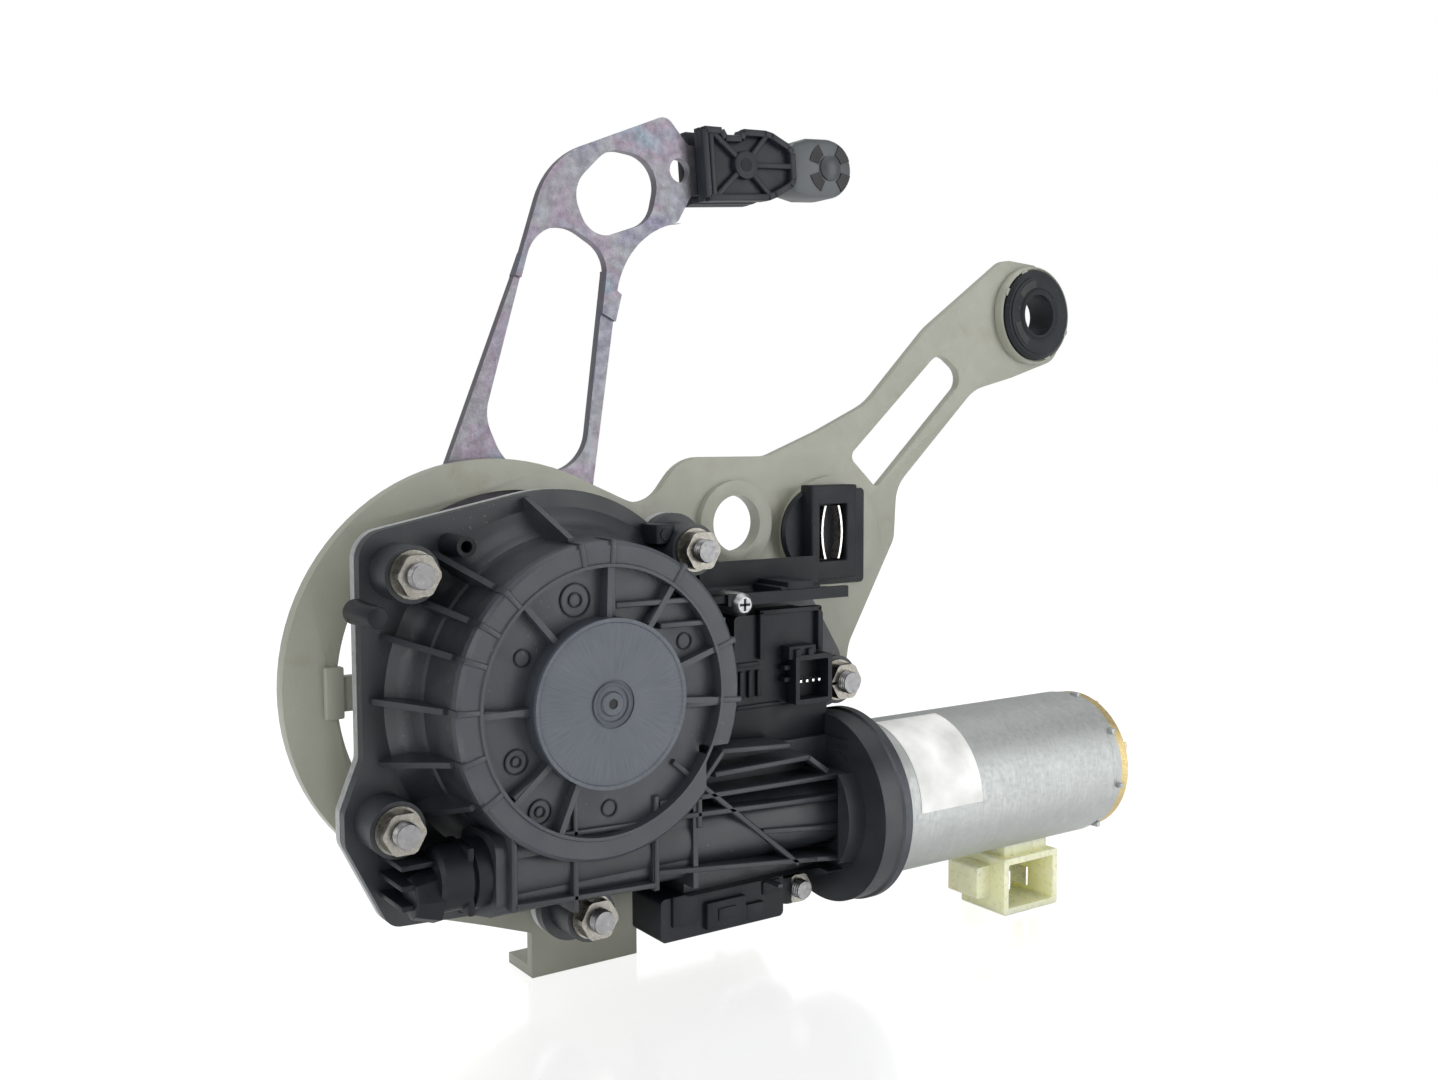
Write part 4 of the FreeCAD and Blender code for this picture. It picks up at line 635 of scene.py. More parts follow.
@dataclass
class Shape:
    """A closed shape in the part's frame, made and cut with operators. All sizes are in mm."""
    mesh: bmesh.types.BMesh = field(default_factory=bmesh.new, kw_only=True)

    def round_off(self, edges: Sequence[bmesh.types.BMEdge], radius: float,
                  segments: int = 2) -> None:
        """Rounds edges.

        Args:
            edges: The edges; one that comes twice counts once.
            radius: Radius of the rounding.
            segments: Steps of the rounding.
        """
        bmesh.ops.bevel(self.mesh, geom=list(dict.fromkeys(edges)), offset=radius * MM,
                        segments=segments, profile=0.5, affect="EDGES", material=-1,
                        clamp_overlap=segments > 2)

    def block(self, low: Place, high: Place, bevel: float = 0.0) -> None:
        """Adds a box between two corners, with its edges rounded.

        Args:
            low: Lowest corner.
            high: Highest corner.
            bevel: Radius of the rounding.
        """
        start, end = at(*low), at(*high)
        made = bmesh.ops.create_cube(self.mesh, size=1)["verts"]
        bmesh.ops.scale(self.mesh, vec=end - start, verts=made)
        bmesh.ops.translate(self.mesh, vec=(end + start) / 2, verts=made)
        if bevel > 0:
            self.round_off([edge for vert in made for edge in vert.link_edges], bevel)

    def rod(self, start: Place, length: float, radius: float, axis: Axis,
            end_radius: float | None = None, sides: int = 32, bevel: float = 0.0) -> None:
        """Adds a cylinder or cone that starts at a point and runs along an axis.

        Args:
            start: Centre of its first end.
            length: Its length.
            radius: Radius at the start.
            axis: Direction that it runs along.
            end_radius: Radius at the far end; the same as at the start if not given.
            sides: Number of sides.
            bevel: Radius of the rounding of both rims.
        """
        far = radius if end_radius is None else end_radius
        made = bmesh.ops.create_cone(self.mesh, cap_ends=True, segments=sides,
                                     radius1=radius * MM, radius2=far * MM,
                                     depth=length * MM)["verts"]
        bmesh.ops.translate(self.mesh, vec=(0, 0, length * MM / 2), verts=made)
        bmesh.ops.transform(self.mesh, matrix=Matrix.Translation(at(*start)) @ axis.turn(),
                            verts=made)
        if bevel > 0:
            self.round_off([edge for vert in made for edge in vert.link_edges
                            if any(len(face.verts) > 4 for face in edge.link_faces)], bevel)

    def turned(self, profile: Sequence[Point], centre: Place, axis: Axis = Axis.Y,
               sides: int = 32, degrees: float = 360.0) -> None:
        """Adds a shape spun about an axis.

        Args:
            profile: Closed profile of (radius, place along the axis) points.
            centre: Point on the axis.
            axis: Direction of the axis.
            sides: Steps of the turn.
            degrees: How far it is spun.
        """
        points = [self.mesh.verts.new((radius * MM, 0, along * MM)) for radius, along in profile]
        edges = [self.mesh.edges.new(pair) for pair in zip(points, points[1:] + points[:1])]
        before = set(self.mesh.verts) - set(points)
        whole = degrees == 360.0
        bmesh.ops.spin(self.mesh, geom=[*points, *edges], cent=(0, 0, 0), axis=(0, 0, 1),
                       angle=math.radians(degrees), steps=sides, use_merge=whole,
                       use_duplicate=False)
        made = [vert for vert in self.mesh.verts if vert not in before]
        if not whole:
            ends = [edge for edge in self.mesh.edges if edge.is_boundary]
            bmesh.ops.holes_fill(self.mesh, edges=ends, sides=0)
        bmesh.ops.transform(self.mesh, matrix=Matrix.Translation(at(*centre)) @ axis.turn(),
                            verts=made)

    def ring(self, inner: float, outer: float, height: float, centre: Place,
             sides: int = 32) -> None:
        """Adds a flat ring that faces the front.

        Args:
            inner: Radius of its hole.
            outer: Its own radius.
            height: How far it runs into the depth.
            centre: Middle of its front face.
            sides: Number of sides.
        """
        self.turned([(inner, 0), (outer, 0), (outer, height), (inner, height)], centre,
                    sides=sides)

    def slab(self, outline: Sequence[Point], front: float, back: float,
             bevel: float = 0.0) -> None:
        """Adds a flat shape drawn from the front and extruded into the depth.

        Args:
            outline: Its points.
            front: Depth of its front face.
            back: Depth of its back face.
            bevel: Radius of the rounding of its front and back edges.
        """
        face = self.mesh.faces.new([self.mesh.verts.new(at(x, front, z)) for x, z in outline])
        grown = bmesh.ops.extrude_face_region(self.mesh, geom=[face])["geom"]
        far = [item for item in grown if isinstance(item, bmesh.types.BMVert)]
        bmesh.ops.translate(self.mesh, vec=(0, (back - front) * MM, 0), verts=far)
        if bevel > 0:
            rims = list(face.edges)
            rims += [edge for vert in far for edge in vert.link_edges
                     if all(end in far for end in edge.verts)]
            self.round_off(rims, bevel)

    def plate(self, corners: Line, front: float, back: float) -> None:
        """Adds a sharp-edged rectangle, given by its left, low, right and high sides.

        Args:
            corners: Its four sides.
            front: Depth of its front face.
            back: Depth of its back face.
        """
        left, low, right, high = corners
        self.slab([(left, low), (right, low), (right, high), (left, high)], front, back)

    def take_node(self, node: str) -> None:
        """Takes the shape of a CAD node, with its doubled points merged first.

        Args:
            node: Name of the node.
        """
        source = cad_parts[node]
        self.mesh.from_mesh(source.data)
        bmesh.ops.transform(self.mesh, matrix=source.matrix_world, verts=self.mesh.verts)
        bmesh.ops.remove_doubles(self.mesh, verts=self.mesh.verts, dist=MERGE)
        bmesh.ops.recalc_face_normals(self.mesh, faces=self.mesh.faces)

    def take(self, other: "Shape") -> None:
        """Adds another shape to this one.

        Args:
            other: The shape to add.
        """
        passing = bpy.data.meshes.new("passing")
        other.mesh.to_mesh(passing)
        self.mesh.from_mesh(passing)

    def passing_object(self, name: str) -> bpy.types.Object:
        """Makes an object of the shape for a short while.

        Args:
            name: Name of the object.

        Returns:
            The object.
        """
        data = bpy.data.meshes.new(name)
        self.mesh.to_mesh(data)
        thing = bpy.data.objects.new(name, data)
        bpy.context.scene.collection.objects.link(thing)
        return thing

    def carve(self, tool: "Shape") -> None:
        """Cuts another shape out of this one.

        Args:
            tool: The shape to cut with.
        """
        bmesh.ops.recalc_face_normals(tool.mesh, faces=tool.mesh.faces)
        target, cutter = self.passing_object("target"), tool.passing_object("cutter")
        step = target.modifiers.new("carve", "BOOLEAN")
        step.operation = "DIFFERENCE"
        step.solver = "EXACT"
        step.object = cutter
        shaped = target.evaluated_get(bpy.context.evaluated_depsgraph_get())
        result = bpy.data.meshes.new_from_object(shaped)
        self.mesh.clear()
        self.mesh.from_mesh(result)
        for thing in (target, cutter):
            bpy.data.objects.remove(thing)

    def soften(self, radius: float, least_turn: float = 40) -> None:
        """Rounds the edges that turn by more than an angle.

        Args:
            radius: Radius of the rounding.
            least_turn: Least turn between the faces, in degrees.
        """
        bmesh.ops.remove_doubles(self.mesh, verts=self.mesh.verts, dist=MERGE_CUT)
        bmesh.ops.dissolve_limit(self.mesh, angle_limit=math.radians(1),
                                 verts=self.mesh.verts, edges=self.mesh.edges)
        turned = [edge for edge in self.mesh.edges if edge.is_manifold
                  and edge.calc_face_angle(0) > math.radians(least_turn)]
        self.round_off(turned, radius, 3)


@dataclass
class Piece(Shape):
    """A shape that becomes one object, on a body of the part and in a finish."""
    name: str
    body: Body
    finish: Finish

    def done(self, slot: str) -> bpy.types.Object:
        """Closes the piece: normals out, smooth by angle, its finish and its body.

        Args:
            slot: The record's material slot; not used.

        Returns:
            The finished object.
        """
        bmesh.ops.remove_doubles(self.mesh, verts=self.mesh.verts, dist=MERGE)
        bmesh.ops.recalc_face_normals(self.mesh, faces=self.mesh.faces)
        data = bpy.data.meshes.new(self.name)
        self.mesh.to_mesh(data)
        self.mesh.free()
        for stale in ("custom_normal", "sharp_face"):
            if stale in data.attributes:
                data.attributes.remove(data.attributes[stale])
        data.materials.clear()
        data.materials.append(self.finish.material())
        for face in data.polygons:
            face.use_smooth = True
        data.set_sharp_from_angle(angle=SHARP)
        piece = bpy.data.objects.new(self.name, data)
        bpy.context.scene.collection.objects.link(piece)
        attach(piece, self.body.value)
        log.info("piece %s: %d faces", self.name, len(data.polygons))
        return piece


BLACK = CoverMoulding("cover_black", (0.02, 0.023, 0.028), 0.4)
BLACK_PLAIN = Moulding("housing_black", (0.008, 0.0095, 0.013), 0.42, dust=0.25, shine=0.25)
LINK_BLACK = Moulding("link_black", (0.014, 0.016, 0.023), 0.42, shine=0.35)
HEAD_GREY = Moulding("head_grey", (0.075, 0.085, 0.09), 0.35, dust=0.1)
BALL_GREY = Moulding("ball_grey", (0.05, 0.053, 0.06), 0.35, dust=0.1)
CLAW_BLACK = Moulding("claw_black", (0.006, 0.006, 0.008), 0.5)
RUBBER = Moulding("socket_black", (0.012, 0.014, 0.018), 0.5, grain=0.05, shine=0.25)
WHEEL = Moulding("wheel_plastic", (0.68, 0.64, 0.52), 0.4, dust=0.1)
FERRITE = Moulding("magnet_ferrite", (0.06, 0.06, 0.065), 0.6, grain=0.06)
CARBON = Moulding("brush_carbon", (0.03, 0.03, 0.03), 0.5)
CARD = Moulding("brush_card", (0.3, 0.19, 0.09), 0.55, grain=0.06)
BOARD = Moulding("board_green", (0.02, 0.12, 0.05), 0.3, dust=0.2)
PATCH = Moulding("blank_film", (0.8, 0.8, 0.77), 0.4, grain=0.01, dust=0.08)
PLUG = ClearMoulding("plug_natural", (0.95, 0.95, 0.64), 0.3)
BRACKET_PAINT = Paint("bracket_paint", (0.3, 0.305, 0.25), 0.42)
LEVER_ZINC = Passivated("lever_zinc", (0.2, 0.205, 0.22), 0.4)
CAN = Galvanised("can_silver", (0.47, 0.49, 0.485), 0.5)
FRONT_PLATE = Galvanised("front_plate_silver", (0.075, 0.08, 0.09), 0.45)
NUT_NICKEL = Metal("nut_nickel", (0.25, 0.24, 0.215), 0.3, stained=0.5, stain=(0.14, 0.11, 0.08))
STUD_ZINC = Metal("stud_zinc", (0.24, 0.24, 0.245), 0.38)
SCREW_ZINC = Metal("screw_zinc", (0.36, 0.365, 0.37), 0.36, stained=0.2)
GROUND_STEEL = Metal("ground_steel", (0.62, 0.63, 0.65), 0.25, stained=0.1)
CAST = Metal("base_cast", (0.5, 0.51, 0.52), 0.55, lines=0.1)
OCHRE = Metal("end_plate_ochre", (0.62, 0.5, 0.25), 0.42, along=Axis.X)
BRONZE = Metal("sintered_bronze", (0.55, 0.38, 0.18), 0.5, stained=0.2)
COPPER = Metal("wound_copper", (0.72, 0.33, 0.16), 0.35, along=Axis.X, lines=0.8)
CORE = Metal("core_sheets", (0.3, 0.3, 0.32), 0.5, along=Axis.Y, lines=0.8)
TIN = Metal("terminal_tin", (0.75, 0.75, 0.74), 0.3)
SPRING = Metal("spring_strip", (0.72, 0.7, 0.66), 0.3, along=Axis.Z)

NODE_FINISHES: dict[str, Finish] = {
    "bracket": BRACKET_PAINT, "gearbox_cover": BLACK, "gearbox_base": CAST,
    "seam_seal": RUBBER, "housing_studs": STUD_ZINC, "housing_nuts": NUT_NICKEL,
    "spacer_posts": STUD_ZINC, "sun_gear": GROUND_STEEL, "planet_gear_1": GROUND_STEEL,
    "planet_gear_2": GROUND_STEEL, "planet_gear_3": GROUND_STEEL, "planet_pins": GROUND_STEEL,
    "ring_gear": CAST, "planet_carrier": CAST, "worm_wheel": WHEEL, "clutch_rotor": CAST,
    "worm": GROUND_STEEL, "output_shaft": GROUND_STEEL, "lever_nut": STUD_ZINC,
    "front_bushing": BRONZE, "output_bushing": BRONZE, "clutch_coil": COPPER,
    "lever": LEVER_ZINC, "link": LINK_BLACK, "link_pin": GROUND_STEEL, "link_head": HEAD_GREY,
    "head_claws": CLAW_BLACK, "motor_front_plate": FRONT_PLATE, "motor_can": CAN,
    "motor_end_plate": OCHRE, "motor_shaft": GROUND_STEEL, "worm_bearing_left": BRONZE,
    "worm_bearing_right": BRONZE, "motor_front_bushing": BRONZE, "motor_rear_bushing": BRONZE,
    "commutator": COPPER, "armature_core": CORE, "armature_windings": COPPER,
    "magnets": FERRITE, "brush_holder": CARD, "brushes": CARBON, "motor_connector": PLUG,
    "motor_terminals": TIN, "electronics_housing": BLACK_PLAIN, "socket_pins": TIN,
    "circuit_board": BOARD, "cable_guide": BLACK_PLAIN, "lower_connector": BLACK_PLAIN,
    "worm_end_cap": BLACK_PLAIN, "clip_block": BLACK_PLAIN, "clip_leaves": SPRING,
    "arm_socket": RUBBER,
}


def dress_nodes() -> None:
    """Gives every CAD node its finish."""
    for name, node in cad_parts.items():
        finish = NODE_FINISHES[name]
        node.data.materials.clear()
        node.data.materials.append(finish.material())
        log.info("node %s: %s", name, finish.name)


@dataclass(frozen=True)
class Stud:
    """A stud's place from the front, its radius and its nut's width across flats."""
    x: float
    z: float
    radius: float = 3.0
    flats: float = 10.0


DRUM_STUDS = (Stud(-44.0, 33.3), Stud(-49.0, -28.5), Stud(37.0, 35.5))


@dataclass
class BracketLook:
    """The bracket as pressed: a wider opening with lugs, a rolled rim and soft edges."""
    opening: Point = (-3.5, 1.5)
    opening_radius: float = 50.5
    opening_start: float = 44.0
    opening_length: float = 9.0
    studs: tuple[Stud, ...] = DRUM_STUDS
    lug_radius: float = 8.0
    lug_past: float = 1.0
    tab_low: Place = (-62.0, 43.0, -3.5)
    tab_high: Place = (-49.0, 54.0, 5.5)
    raised_low: Place = (-57.0, 46.0, -5.2)
    raised_high: Place = (-52.2, 48.5, 8.2)
    rim: Point = (-6.2, 1.6)
    rim_start: float = 50.0
    rim_end: float = 58.5
    rim_depth: float = 50.5
    roll: float = 3.4
    roll_angles: Point = (58.0, 222.0)
    roll_fades: Point = (22.0, 14.0)
    softness: float = 1.1
    spare: tuple[tuple[Point, ...], ...] = (
        ((-70, -36), (-52, -42), (-35, -60), (-14, -67), (0, -72), (0, -90), (-70, -90)),
        ((34, -90), (34, -76), (78, -76), (84, -66), (99, -45), (104, -20), (118, -8), (130, -8),
         (130, -90)))
    spare_front: float = 40.0
    spare_back: float = 65.0

    def opening_tool(self) -> Shape:
        """The cutter of the opening, less a lug round each stud and a short tab.

        Returns:
            The cutter.
        """
        tool = Shape()
        x, z = self.opening
        tool.rod((x, self.opening_start, z), self.opening_length, self.opening_radius, Axis.Y,
                 sides=128)
        for stud in self.studs:
            lug = Shape()
            lug.rod((stud.x, self.opening_start - self.lug_past, stud.z),
                    self.opening_length + 2 * self.lug_past, self.lug_radius, Axis.Y, sides=48)
            tool.carve(lug)
        tab = Shape()
        tab.block(self.tab_low, self.tab_high)
        tool.carve(tab)
        return tool

    def roll_rim(self, mesh: bmesh.types.BMesh) -> None:
        """Leans the rim's front edge back, more towards its outer edge.

        Args:
            mesh: The sheet.
        """
        middle = at(self.rim[0], 0, self.rim[1])
        first, last = self.roll_angles
        fade_in, fade_out = self.roll_fades
        for vert in mesh.verts:
            across = vert.co - middle
            away = math.hypot(across.x, across.z) / MM
            angle = math.degrees(math.atan2(across.z, across.x)) % 360
            depth = (vert.co.y + EAR.y * MM) / MM
            if depth >= self.rim_depth or angle >= last:
                continue
            share = min(1.0, max(0.0, (away - self.rim_start) / (self.rim_end - self.rim_start)))
            rise = min(1.0, max(0.0, (angle - first) / fade_in))
            fall = min(1.0, max(0.0, (last - angle) / fade_out))
            vert.co.y += self.roll * share * (rise * fall) * MM

    def build(self) -> None:
        """Builds the sheet and the tab raised from it."""
        sheet = Piece("bracket_sheet", Body.HOUSING, BRACKET_PAINT)
        sheet.take_node("bracket")
        sheet.carve(self.opening_tool())
        for plan in self.spare:
            spare = Shape()
            spare.slab(plan, self.spare_front, self.spare_back)
            sheet.carve(spare)
        sheet.soften(self.softness)
        self.roll_rim(sheet.mesh)
        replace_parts(sheet.done("bracket_paint"), "bracket")
        raised = Piece("bracket_raised_tab", Body.HOUSING, BRACKET_PAINT)
        raised.block(self.raised_low, self.raised_high, 0.5)
        raised.done("bracket_paint")


@dataclass
class CoverLook:
    """The cover's front below the drum: an open lattice of ribs over the round worm tunnel."""
    rib: float = 1.5
    rib_edge: float = 0.3
    front: float = 5.3
    floor: float = 15.0
    cavity: Line = (29.5, -57.5, 79.0, -15.0)
    cavity_front: float = 3.0
    tunnel_start: float = -26.0
    tunnel_length: float = 105.0
    tunnel_radius: float = 10.5
    bars: tuple[Line, ...] = (
        (-25, -24.8, -25, -49.6), (-8.1, -19.3, -8.1, -52.9), (15.7, -26.6, 15.7, -51.7),
        (29.1, -25.9, 29.1, -37.2), (-24.3, -32, 15.4, -33.4), (-25.1, -48.3, 15.3, -50.1),
        (36.3, -17.6, 59, -18.9), (34, -23.6, 65.7, -23.1), (65.7, -23.1, 72.5, -28),
        (16.7, -28.8, 79, -29.7), (16.7, -33, 79, -35.8), (49.8, -41.6, 79, -44.6),
        (16.2, -47.1, 68.2, -52.4), (68.2, -52.4, 79, -53.8), (20.8, -18.3, 62.2, -52.7),
        (36.9, -17.7, 29.2, -25.9))

    def build(self) -> None:
        """Opens the block of the copied cover and lays the lattice in it."""
        shell = Piece("cover_shell", Body.HOUSING, BLACK)
        shell.take_node("gearbox_cover")
        left, low, right, high = self.cavity
        cavity = Shape()
        cavity.block((left, self.cavity_front, low), (right, self.floor, high))
        shell.carve(cavity)
        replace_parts(shell.done("cover_plastic"), "gearbox_cover")
        lattice = Piece("cover_lattice", Body.HOUSING, BLACK)
        for bar in self.bars:
            lattice.slab(strip(bar, self.rib), self.front, self.floor + 1, self.rib_edge)
        lattice.rod((self.tunnel_start, MOTOR_Y, MOTOR_Z), self.tunnel_length,
                    self.tunnel_radius, Axis.X, sides=64)
        lattice.done("cover_plastic")


@dataclass
class HubTrim:
    """The ring and the pierced boss in the middle of the front disc."""
    boss_ring: tuple[Point, ...] = ((4.5, 0), (5.0, -0.35), (5.5, 0), (5.5, 0.8), (4.5, 0.8))
    boss_ring_front: float = 0.35
    boss: tuple[Point, ...] = ((1.3, 0), (2.8, 0), (3.2, 0.5), (3.2, 1), (1.3, 1))
    boss_front: float = 0.15
    pit_front: float = 0.5
    pit_depth: float = 0.5
    pit_radius: float = 1.35

    def build(self) -> None:
        """Builds the ring with the boss, and a near-black disc in its hole as painted shade."""
        hub = Piece("disc_hub", Body.HOUSING, BLACK)
        hub.turned(self.boss_ring, (0, self.boss_ring_front, 0), sides=48)
        hub.turned(self.boss, (0, self.boss_front, 0), sides=48)
        hub.done("cover_plastic")
        # Painted shade: a near-black disc fills the boss's hole where its depth would be in shadow.
        pit = Piece("hub_hole_shade", Body.HOUSING, CLAW_BLACK)
        pit.rod((0, self.pit_front, 0), self.pit_depth, self.pit_radius, Axis.Y)
        pit.done("cover_plastic")


@dataclass
class MarkTrim:
    """Round ejector marks and bare dials in the annulus; a dial has x, z and its radius."""
    marks: tuple[Point, ...] = ((-21.8, 12.7), (25.0, 13.0), (2.1, -27.9))
    mark_front: float = 6.1
    mark_radius: float = 2.3
    mark_wall: float = 0.4
    mark_depth: float = 0.8
    dials: tuple[tuple[float, float, float], ...] = ((-23.8, -12.6, 3.2), (-17.5, -25.9, 3.2),
                                                     (-7.1, 25.9, 4.3))
    dial_front: float = 6.0
    dial_wall: float = 0.35
    dial_shares: tuple[float, ...] = (1.0, 0.45)

    def build(self) -> None:
        """Builds all the rings as one piece."""
        marks = Piece("cover_marks", Body.HOUSING, BLACK_PLAIN)
        for x, z in self.marks:
            marks.ring(self.mark_radius - self.mark_wall, self.mark_radius, self.mark_depth,
                       (x, self.mark_front, z))
        for x, z, radius in self.dials:
            for share in self.dial_shares:
                ring = radius * share
                marks.ring(ring - self.dial_wall, ring, self.mark_depth, (x, self.dial_front, z))
        marks.done("cover_plastic")


@dataclass
class RibTrim:
    """Straight ribs in the annulus, and short ones across the ring round it by their angles."""
    rib: float = 1.5
    edge: float = 0.3
    ribs: tuple[Line, ...] = (
        (2, 21.4, 2, 39.4), (-21.2, 24.3, -13.2, 15.6), (-33.6, 0.7, -20.2, -0.9),
        (-25.9, -20.9, -15.8, -14.5), (23.2, -3.5, 41, -3.8), (12.5, 18.5, 19.2, 27),
        (2.9, 24.1, 27.7, 24.1), (15.8, 17.9, 36, 17.9))
    front: float = 3.2
    back: float = 7.2
    ring_ribs: tuple[int, ...] = (18, 55, 87, 100, 133, 147, 160, 178, 196, 213, 355)
    ring_inner: float = 33.8
    ring_outer: float = 40.9
    ring_front: float = 2.55
    ring_back: float = 12.0

    def build(self) -> None:
        """Builds all the ribs as one piece."""
        ribs = Piece("annulus_ribs", Body.HOUSING, BLACK)
        for line in self.ribs:
            ribs.slab(strip(line, self.rib), self.front, self.back, self.edge)
        for angle in self.ring_ribs:
            line = (*on_circle((0, 0), self.ring_inner, angle),
                    *on_circle((0, 0), self.ring_outer, angle))
            ribs.slab(strip(line, self.rib), self.ring_front, self.ring_back, self.edge)
        ribs.done("cover_plastic")


@dataclass
class FlangeTrim:
    """Screws, pegs and bosses on the cover's flange, and the fillet to the motor mount."""
    screws: tuple[Place, ...] = ((48.9, 12.6, 20.2), (70.7, 18.5, -19.0), (70.3, 18.5, -63.7))
    screw: tuple[Point, ...] = ((0, 0), (2.2, 0), (3.1, 0.9), (3.3, 1.8), (3.3, 10), (0, 10))
    slot_reach: float = 1.7
    slot_half: float = 0.35
    slot_front: float = 0.08
    slot_back: float = 0.2
    hollow_boss: Place = (-30.2, 19.0, 39.4)
    hollow_boss_profile: tuple[Point, ...] = ((1.5, 0), (2.6, 0), (2.9, 12), (1.5, 12))
    peg: Place = (-54.5, 15.0, 24.0)
    peg_length: float = 16.0
    peg_radii: Point = (2.6, 3.2)
    square_boss: tuple[Place, Place] = ((26.3, 22.0, 37.2), (32.3, 31.0, 42.6))
    rim_start: Place = (29.3, 21.6, 39.9)
    rim_length: float = 0.6
    rim_radius: float = 1.7
    fillet: tuple[Place, Place] = ((46.0, 16.5, -22.0), (81.0, 31.0, -9.5))

    def mount_fillet(self) -> None:
        """The block that joins the cover to the motor mount."""
        fillet = Piece("mount_fillet", Body.HOUSING, BLACK_PLAIN)
        fillet.block(*self.fillet, bevel=0.6)
        fillet.done("cover_plastic")

    def small_screws(self) -> None:
        """Three screws, with the shade of a cross recess painted as a dark cross on each head."""
        screws = Piece("trim_screws", Body.HOUSING, SCREW_ZINC)
        slots = Piece("trim_screw_recess_shade", Body.HOUSING, RUBBER)
        for x, y, z in self.screws:
            screws.turned(self.screw, (x, y, z))
            # Painted shade: a dark cross in front of each head stands in for the shadow in its
            # recess.
            for wide, tall in ((self.slot_reach, self.slot_half),
                               (self.slot_half, self.slot_reach)):
                slots.block((x - wide, y - self.slot_front, z - tall),
                            (x + wide, y + self.slot_back, z + tall))
        screws.done("stud_steel")
        slots.done("seal_rubber")

    def pegs(self) -> None:
        """A hollow boss, a locating peg and a square boss with a round step on it."""
        pegs = Piece("cover_pegs", Body.HOUSING, BLACK_PLAIN)
        pegs.turned(self.hollow_boss_profile, self.hollow_boss)
        near, far = self.peg_radii
        pegs.rod(self.peg, self.peg_length, near, Axis.Y, end_radius=far, sides=24, bevel=0.4)
        pegs.block(*self.square_boss, bevel=0.5)
        pegs.rod(self.rim_start, self.rim_length, self.rim_radius, Axis.Y, sides=24)
        pegs.done("cover_plastic")

    def build(self) -> None:
        """Builds the fillet, the screws and the pegs."""
        self.mount_fillet()
        self.small_screws()
        self.pegs()


@dataclass
class BoxTrim:
    """Raised details of the electronics box, the cable guide and the lower connector.

    Each block is given by its lowest and its highest corner.
    """
    edge: float = 0.3
    face_frame: tuple[Box, ...] = ((56, 15.4, 4, 57.4, 18, 17.6), (56, 15.4, 16.4, 78, 18, 17.8),
                                   (76.6, 15.4, 5, 78, 18, 17.6))
    ledges: tuple[Box, ...] = ((48.6, 16.2, -9.8, 64, 18, -8.6), (48.6, 16.2, 2.2, 56.5, 18, 3.4))
    vent_bars: tuple[Box, ...] = ((49.5, 16, -6.5, 51, 18, 1), (52.5, 16, -6.5, 54, 18, 1),
                                  (55.5, 16, -6.5, 57, 18, 1))
    socket_hood: tuple[Box, ...] = ((64.4, 13, 3.4, 74, 17.5, 7.2), (66, 11.9, 4.2, 68, 13, 6.4),
                                    (70.5, 11.9, 4.2, 72.5, 13, 6.4))
    snap_teeth: tuple[Box, ...] = ((63.5, 14, -3, 66.4, 17.4, -1.6),
                                   (63.5, 14, 0.4, 66.4, 17.4, 1.8),
                                   (79.2, 15, -6, 83.5, 30, -4.6))
    guide_steps: tuple[Box, ...] = ((62.8, 14.6, 21.2, 76.5, 30, 24), (65, 14.4, 22, 74.3, 30, 25.4),
                                    (40, 15.2, 20.6, 60, 17, 22.6), (80, 14.2, 20.5, 86, 24, 22.2))
    lower_steps: tuple[Box, ...] = (
        (25.4, 13.2, -66, 33.5, 15, -57.5), (36, 12.4, -68.6, 49, 15, -61),
        (48.8, 12.8, -68.6, 55.5, 15, -64), (55.5, 13.4, -62.6, 61.5, 16, -58.8),
        (39.5, 11.9, -66.5, 45.5, 13, -63), (58, 14.5, -67, 66.5, 24, -59.5))

    def build(self) -> None:
        """Builds all the blocks as one piece."""
        trim = Piece("box_trim", Body.HOUSING, BLACK_PLAIN)
        for group in (self.face_frame, self.ledges, self.vent_bars, self.socket_hood,
                      self.snap_teeth, self.guide_steps, self.lower_steps):
            for box in group:
                trim.block(box[:3], box[3:], self.edge)
        trim.done("cover_plastic")


@dataclass
class CapTrim:
    """The worm's end cap: a faceted plug with three gussets and a plate behind them."""
    plug: Place = (-47.5, MOTOR_Y, MOTOR_Z - 3.5)
    plug_length: float = 6.5
    plug_radii: Point = (5.2, 7.4)
    plug_sides: int = 8
    gusset_heights: tuple[float, ...] = (-36.5, -41.4, -46.4)
    gusset_half: float = 0.7
    gusset_ends: Point = (-50.5, -41.0)
    gusset_depths: Point = (14.0, 29.5)
    plate: tuple[Place, Place] = ((-35.0, 10.5, -50.2), (-33.2, 24.0, -33.2))

    def build(self) -> None:
        """Builds the plug, the gussets and the plate."""
        facets = Piece("cap_gussets", Body.HOUSING, BLACK_PLAIN)
        near, far = self.plug_radii
        facets.rod(self.plug, self.plug_length, near, Axis.X, end_radius=far,
                   sides=self.plug_sides, bevel=0.5)
        (start, end), (front, back) = self.gusset_ends, self.gusset_depths
        for z in self.gusset_heights:
            facets.block((start, front, z - self.gusset_half), (end, back, z + self.gusset_half),
                         bevel=0.3)
        facets.block(*self.plate, bevel=0.4)
        facets.done("cover_plastic")


@dataclass
class BlankPatch:
    """A bare film round the front and top of the motor can."""
    start: float = 97.5
    length: float = 24.0
    inner: float = 23.02
    outer: float = 23.12
    sweep: float = 84.0
    turned_by: float = -174.0

    def build(self) -> None:
        """Turns the film and moves it round the can."""
        patch = Piece("blank_patch", Body.HOUSING, PATCH)
        centre = (self.start, MOTOR_Y, MOTOR_Z)
        patch.turned([(self.inner, 0), (self.outer, 0), (self.outer, self.length),
                      (self.inner, self.length)], centre, Axis.X, 32, self.sweep)
        bmesh.ops.rotate(patch.mesh, cent=at(*centre), verts=patch.mesh.verts,
                         matrix=Matrix.Rotation(math.radians(self.turned_by), 3, "X"))
        patch.done("can_steel")


